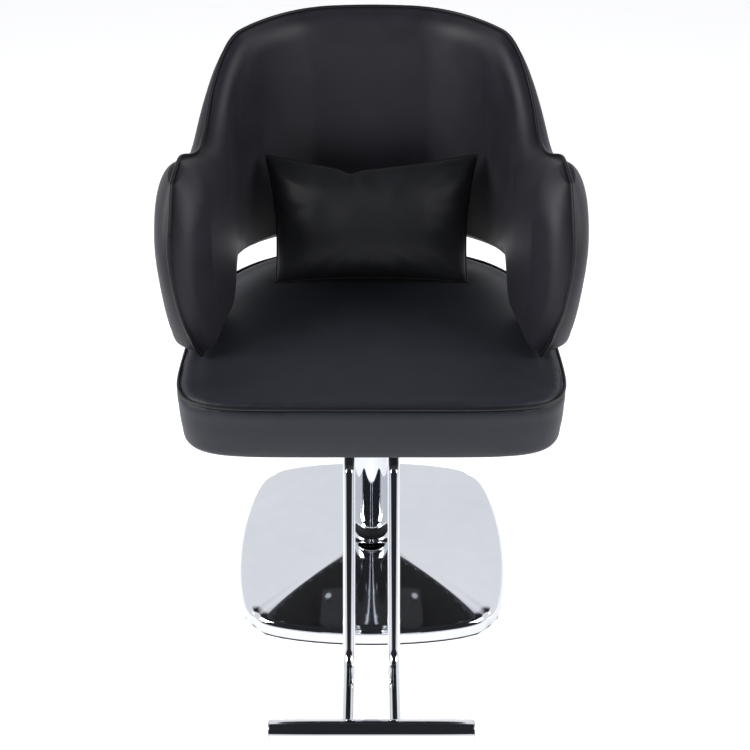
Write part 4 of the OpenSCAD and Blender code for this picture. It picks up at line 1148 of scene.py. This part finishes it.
@dataclass
class Pillow:
    """Loose two-panel pillow with piped edges, leaning on the back."""

    width: float = 340.0
    height: float = 204.0
    thick: float = 92.0
    lean: float = math.radians(33)
    place_y: float = 131.0
    place_z: float = 580.0
    cord_r: float = 1.9
    crowding: float = 0.86
    notch_share: float = -0.10
    slump_depth: float = 15.0
    notch_depth: float = 5.0
    rows: int = 72
    cols: int = 44
    puff: Inflation = field(default_factory=lambda: Inflation(pressure=3.0, cap=9.0, frames=16, stiffness=20.0,
                                                              bending=0.15))

    def outline(self, a: np.ndarray, b: np.ndarray) -> tuple[np.ndarray, np.ndarray]:
        """Flat place of the panel at a across and b up, both from -1 to 1."""
        half = self.width / 2 * mix(0.9, 1.0, (b + 1) / 2) - 9 * (1 - b * b)
        rise = self.height / 2 - 7 * (1 - a * a)
        return half * a, rise * b - np.where(b > 0, 5 * b * (1 - a * a), 0)

    def swell(self, a: np.ndarray, b: np.ndarray) -> np.ndarray:
        """Half thickness of the stuffed pillow at a and b."""
        return (self.thick / 2 - 2) * ((1 - np.abs(a) ** 3) * (1 - np.abs(b) ** 3)) ** 0.55

    def slump(self, points: np.ndarray) -> np.ndarray:
        """Lets the middle of the top edge sink, as in a half-filled pillow.

        Args:
            points: N by 3, in the pillow's own upright frame.

        Returns:
            The moved points.
        """
        x, z = points[:, 0], points[:, 2]
        notch = self.notch_share * self.width
        tent = np.maximum(0, 1 - np.abs(x - notch) / (self.width * mix(0.42, 0.58, (x > notch) * 1.0)))
        fall = self.slump_depth * tent ** 1.3 + self.notch_depth * np.exp(-((x - notch) / 14) ** 2)
        points[:, 2] -= fall * smooth((z + 10) / (self.height / 2))
        return points

    def steps(self, count: int) -> np.ndarray:
        """Places from -1 to 1 that crowd towards both ends."""
        return np.sin(np.linspace(-1, 1, count + 1) * math.pi / 2 * self.crowding) \
            / math.sin(math.pi / 2 * self.crowding)

    def skin(self) -> tuple[bpy.types.Object, np.ndarray]:
        """The stuffed pillow.

        Returns:
            The object and the closed line of its seam.
        """
        a, b = np.meshgrid(self.steps(self.rows), self.steps(self.cols), indexing="ij")
        x, z = self.outline(a, b)
        rise = self.swell(a, b)
        start = 0.9 * rise
        grids = [np.stack([x, side * (start + 0.5), z], -1) for side in (-1, 1)]
        points, faces = slab_mesh(*grids)
        piece = make_object("leatherette_pillow", points, faces, PILLOW_SKIN)
        face_outwards(piece)
        rim = np.maximum(np.abs(a), np.abs(b)).ravel()
        held = smooth((rim - 0.86) / 0.12)
        self.puff.run(piece, np.concatenate([held, held]))
        p = positions(piece.data) / MM
        goal = np.array([self.width, self.thick, self.height]) / 2
        low, high = p.min(0), p.max(0)
        p = (p - (low + high) / 2) * (goal / ((high - low) / 2))
        flat_a, flat_b = (np.concatenate([g.ravel(), g.ravel()]) for g in (a, b))
        rim = np.maximum(np.abs(flat_a), np.abs(flat_b))
        normals = point_values(piece.data, "normal")
        spoke = np.arctan2(p[:, 2], p[:, 0])
        folds = waves(np.stack([np.cos(spoke), np.sin(spoke), np.sign(p[:, 1]) * 0.4], 1) * 10, 1.6, 2.0)
        p += normals * (folds * 2.4 * smooth((rim - 0.45) / 0.35) * smooth((1.0 - rim) / 0.08)
                        + waves(p, 45.0, 6.0) * 2.2 * (1 - rim ** 6))[:, None]
        p = self.slump(p)
        count = (self.rows + 1) * (self.cols + 1)
        seam = np.array([(p[i] + p[i + count]) / 2 for i in rim_order(self.rows + 1, self.cols + 1)])
        set_positions(piece.data, self.lean_back(p) * MM)
        return refine(piece), self.lean_back(seam)

    def lean_back(self, points: np.ndarray) -> np.ndarray:
        """Carries points from the pillow's own frame to its place on the seat."""
        c, s = math.cos(self.lean), math.sin(self.lean)
        x, y, z = points.T
        return np.stack([x, y * c + z * s + self.place_y, z * c - y * s + self.place_z], 1)

    def build(self) -> list[bpy.types.Object]:
        """Builds and places the pillow and its piping."""
        pillow, seam = self.skin()
        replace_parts(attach(pillow, "pillow"), "pillow_front", "pillow_rear", "pillow_fill")
        piping = sweep("leatherette_pillow_piping", seam, self.cord_r, PIPING_SKIN, step=2.5, sides=10)
        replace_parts(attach(piping, "pillow"), "pillow_piping")
        return [pillow, piping]


# ------------------------------------------------------------------ frame parts and studio


class FrameParts:
    """The CAD nodes that keep their shapes and take a finish."""

    def dress(self) -> int:
        """Gives every CAD node the finish of its slot.

        Returns:
            How many nodes were dressed.
        """
        slots = {part["node"]: part["material_slot"] for part in frame["record"]["subparts"]}
        for name, node in frame["nodes"].items():
            node.data.materials.clear()
            node.data.materials.append(SLOT_FINISH[slots[name]].material())
        return len(slots)


@dataclass
class Studio:
    """Pale floor, soft light and the camera.

    Attributes:
        eye, pitch, lens, shift: the camera's place, tilt, focal length and shift.
        dark_from: height of a direction over which the wall turns dark.
        dark_ahead: heading over which it turns dark, towards the camera's side.
        dark_above: height over which the ceiling turns dark.
        floor_glow: light that the floor adds, so that it stays white.
        softbox: side of each light in metres.
        watts_left, watts_right: their power.
    """

    eye: tuple[float, float, float] = (0.0, -1.47, 1.27)
    pitch: float = math.radians(31.6)
    lens: float = 51.6
    shift: float = 0.0047
    dark_from: tuple[float, float] = (0.17, 0.24)
    dark_ahead: tuple[float, float] = (-0.40, -0.54)
    dark_above: tuple[float, float] = (0.74, 0.82)
    floor_glow: float = 0.6
    softbox: float = 1.2
    watts_left: float = 44.0
    watts_right: float = 30.0

    def camera(self) -> None:
        """Sets the camera at the front, above the seat."""
        data = bpy.data.cameras.new("camera")
        data.lens, data.sensor_width, data.shift_x = self.lens, 36.0, self.shift
        made = link("camera", data)
        made.location = self.eye
        made.rotation_euler = (math.pi / 2 - self.pitch, 0, 0)
        bpy.context.scene.camera = made

    def floor(self) -> None:
        """A wide pale floor."""
        points = np.array([[x, y, 0] for y in (-9000, 9000) for x in (-9000, 9000)])
        made = make_object("studio_floor", points, [(0, 1, 3, 2)])
        paper = bpy.data.materials.new("matt_white_floor")
        paper.use_nodes = True
        tree = paper.node_tree
        tree.nodes.clear()
        grain = add(tree, "ShaderNodeTexNoise", {"Vector": add(tree, "ShaderNodeTexCoord").outputs["Object"],
                                                 "Scale": per_mm(4.0)})
        tone = add(tree, "ShaderNodeMix", {0: grain.outputs["Fac"], 6: srgb("#f4f4f5"), 7: srgb("#f7f7f8")},
                   data_type="RGBA")
        shader = add(tree, "ShaderNodeBsdfPrincipled", {"Base Color": tone.outputs[2], "Roughness": 0.9,
                                                        "Specular IOR Level": 0.1, "Emission Color": tone.outputs[2],
                                                        "Emission Strength": self.floor_glow})
        add(tree, "ShaderNodeOutputMaterial", {"Surface": shader.outputs[0]})
        made.data.materials.append(paper)

    def world(self) -> None:
        """White room, unlit overhead and high behind the camera, which chrome shows as dark bands."""
        world = bpy.data.worlds.new("soft_room")
        bpy.context.scene.world = world
        world.use_nodes = True
        tree = world.node_tree
        tree.nodes.clear()
        way = add(tree, "ShaderNodeTexCoord").outputs["Generated"]
        level = add(tree, "ShaderNodeVectorMath", {0: way, 1: (1.0, 1.0, 0.0)}, operation="MULTIPLY")
        heading = add(tree, "ShaderNodeVectorMath", {0: level.outputs[0]}, operation="NORMALIZE")
        height = add(tree, "ShaderNodeSeparateXYZ", {0: way}).outputs["Z"]
        side = add(tree, "ShaderNodeSeparateXYZ", {0: heading.outputs[0]}).outputs["Y"]
        raised, ahead, above = (
            add(tree, "ShaderNodeMapRange", {"Value": value, "From Min": low, "From Max": high},
                interpolation_type="SMOOTHSTEP").outputs[0]
            for value, (low, high) in ((height, self.dark_from), (side, self.dark_ahead), (height, self.dark_above)))
        wall = add(tree, "ShaderNodeMath", {0: raised, 1: ahead}, operation="MULTIPLY")
        dark = add(tree, "ShaderNodeMath", {0: wall.outputs[0], 1: above}, operation="MAXIMUM")
        tone = add(tree, "ShaderNodeMix", {0: dark.outputs[0], 6: srgb("#f7f8fb"), 7: srgb("#2a2b2f")},
                   data_type="RGBA")
        seen = add(tree, "ShaderNodeLightPath").outputs["Is Camera Ray"]
        plain = add(tree, "ShaderNodeMix", {0: seen, 6: tone.outputs[2], 7: srgb("#ffffff")}, data_type="RGBA")
        shine = add(tree, "ShaderNodeBackground", {"Color": plain.outputs[2], "Strength": 1.0})
        add(tree, "ShaderNodeOutputWorld", {"Surface": shine.outputs[0]})

    def light(self, name: str, place: tuple[float, float, float], aim: tuple[float, float, float], size: float,
              watts: float) -> None:
        """Sets one soft square light.

        Args:
            name: its name.
            place: where it hangs, in metres.
            aim: the point that it faces.
            size: its side in metres.
            watts: its power.
        """
        data = bpy.data.lights.new(name, "AREA")
        data.shape, data.size, data.energy = "SQUARE", size, watts
        made = link(name, data)
        made.location = place
        made.rotation_euler = (Vector(place) - Vector(aim)).to_track_quat("Z", "Y").to_euler()

    def build(self) -> None:
        """Sets up the whole studio."""
        self.camera()
        self.floor()
        self.world()
        for name, side, watts in (("softbox_left", -1, self.watts_left), ("softbox_right", 1, self.watts_right)):
            self.light(name, (side * 2.0, -0.9, 1.9), (0, 0, 0.5), self.softbox, watts)
        bpy.context.scene.view_settings.view_transform = "Standard"


def main() -> None:
    """Builds the chair in order."""
    logging.basicConfig(level=logging.INFO, format="%(name)s: %(message)s")
    Studio().build()
    LOG.info("dressed %d frame parts", FrameParts().dress())
    for part in (Base(), Column(), Footrest(), SeatCushion(), TubShell(), Pillow()):
        for piece in part.build():
            LOG.info("%s: %s, %d faces", type(part).__name__, piece.name, len(piece.data.polygons))


if __name__ == "__main__":
    main()
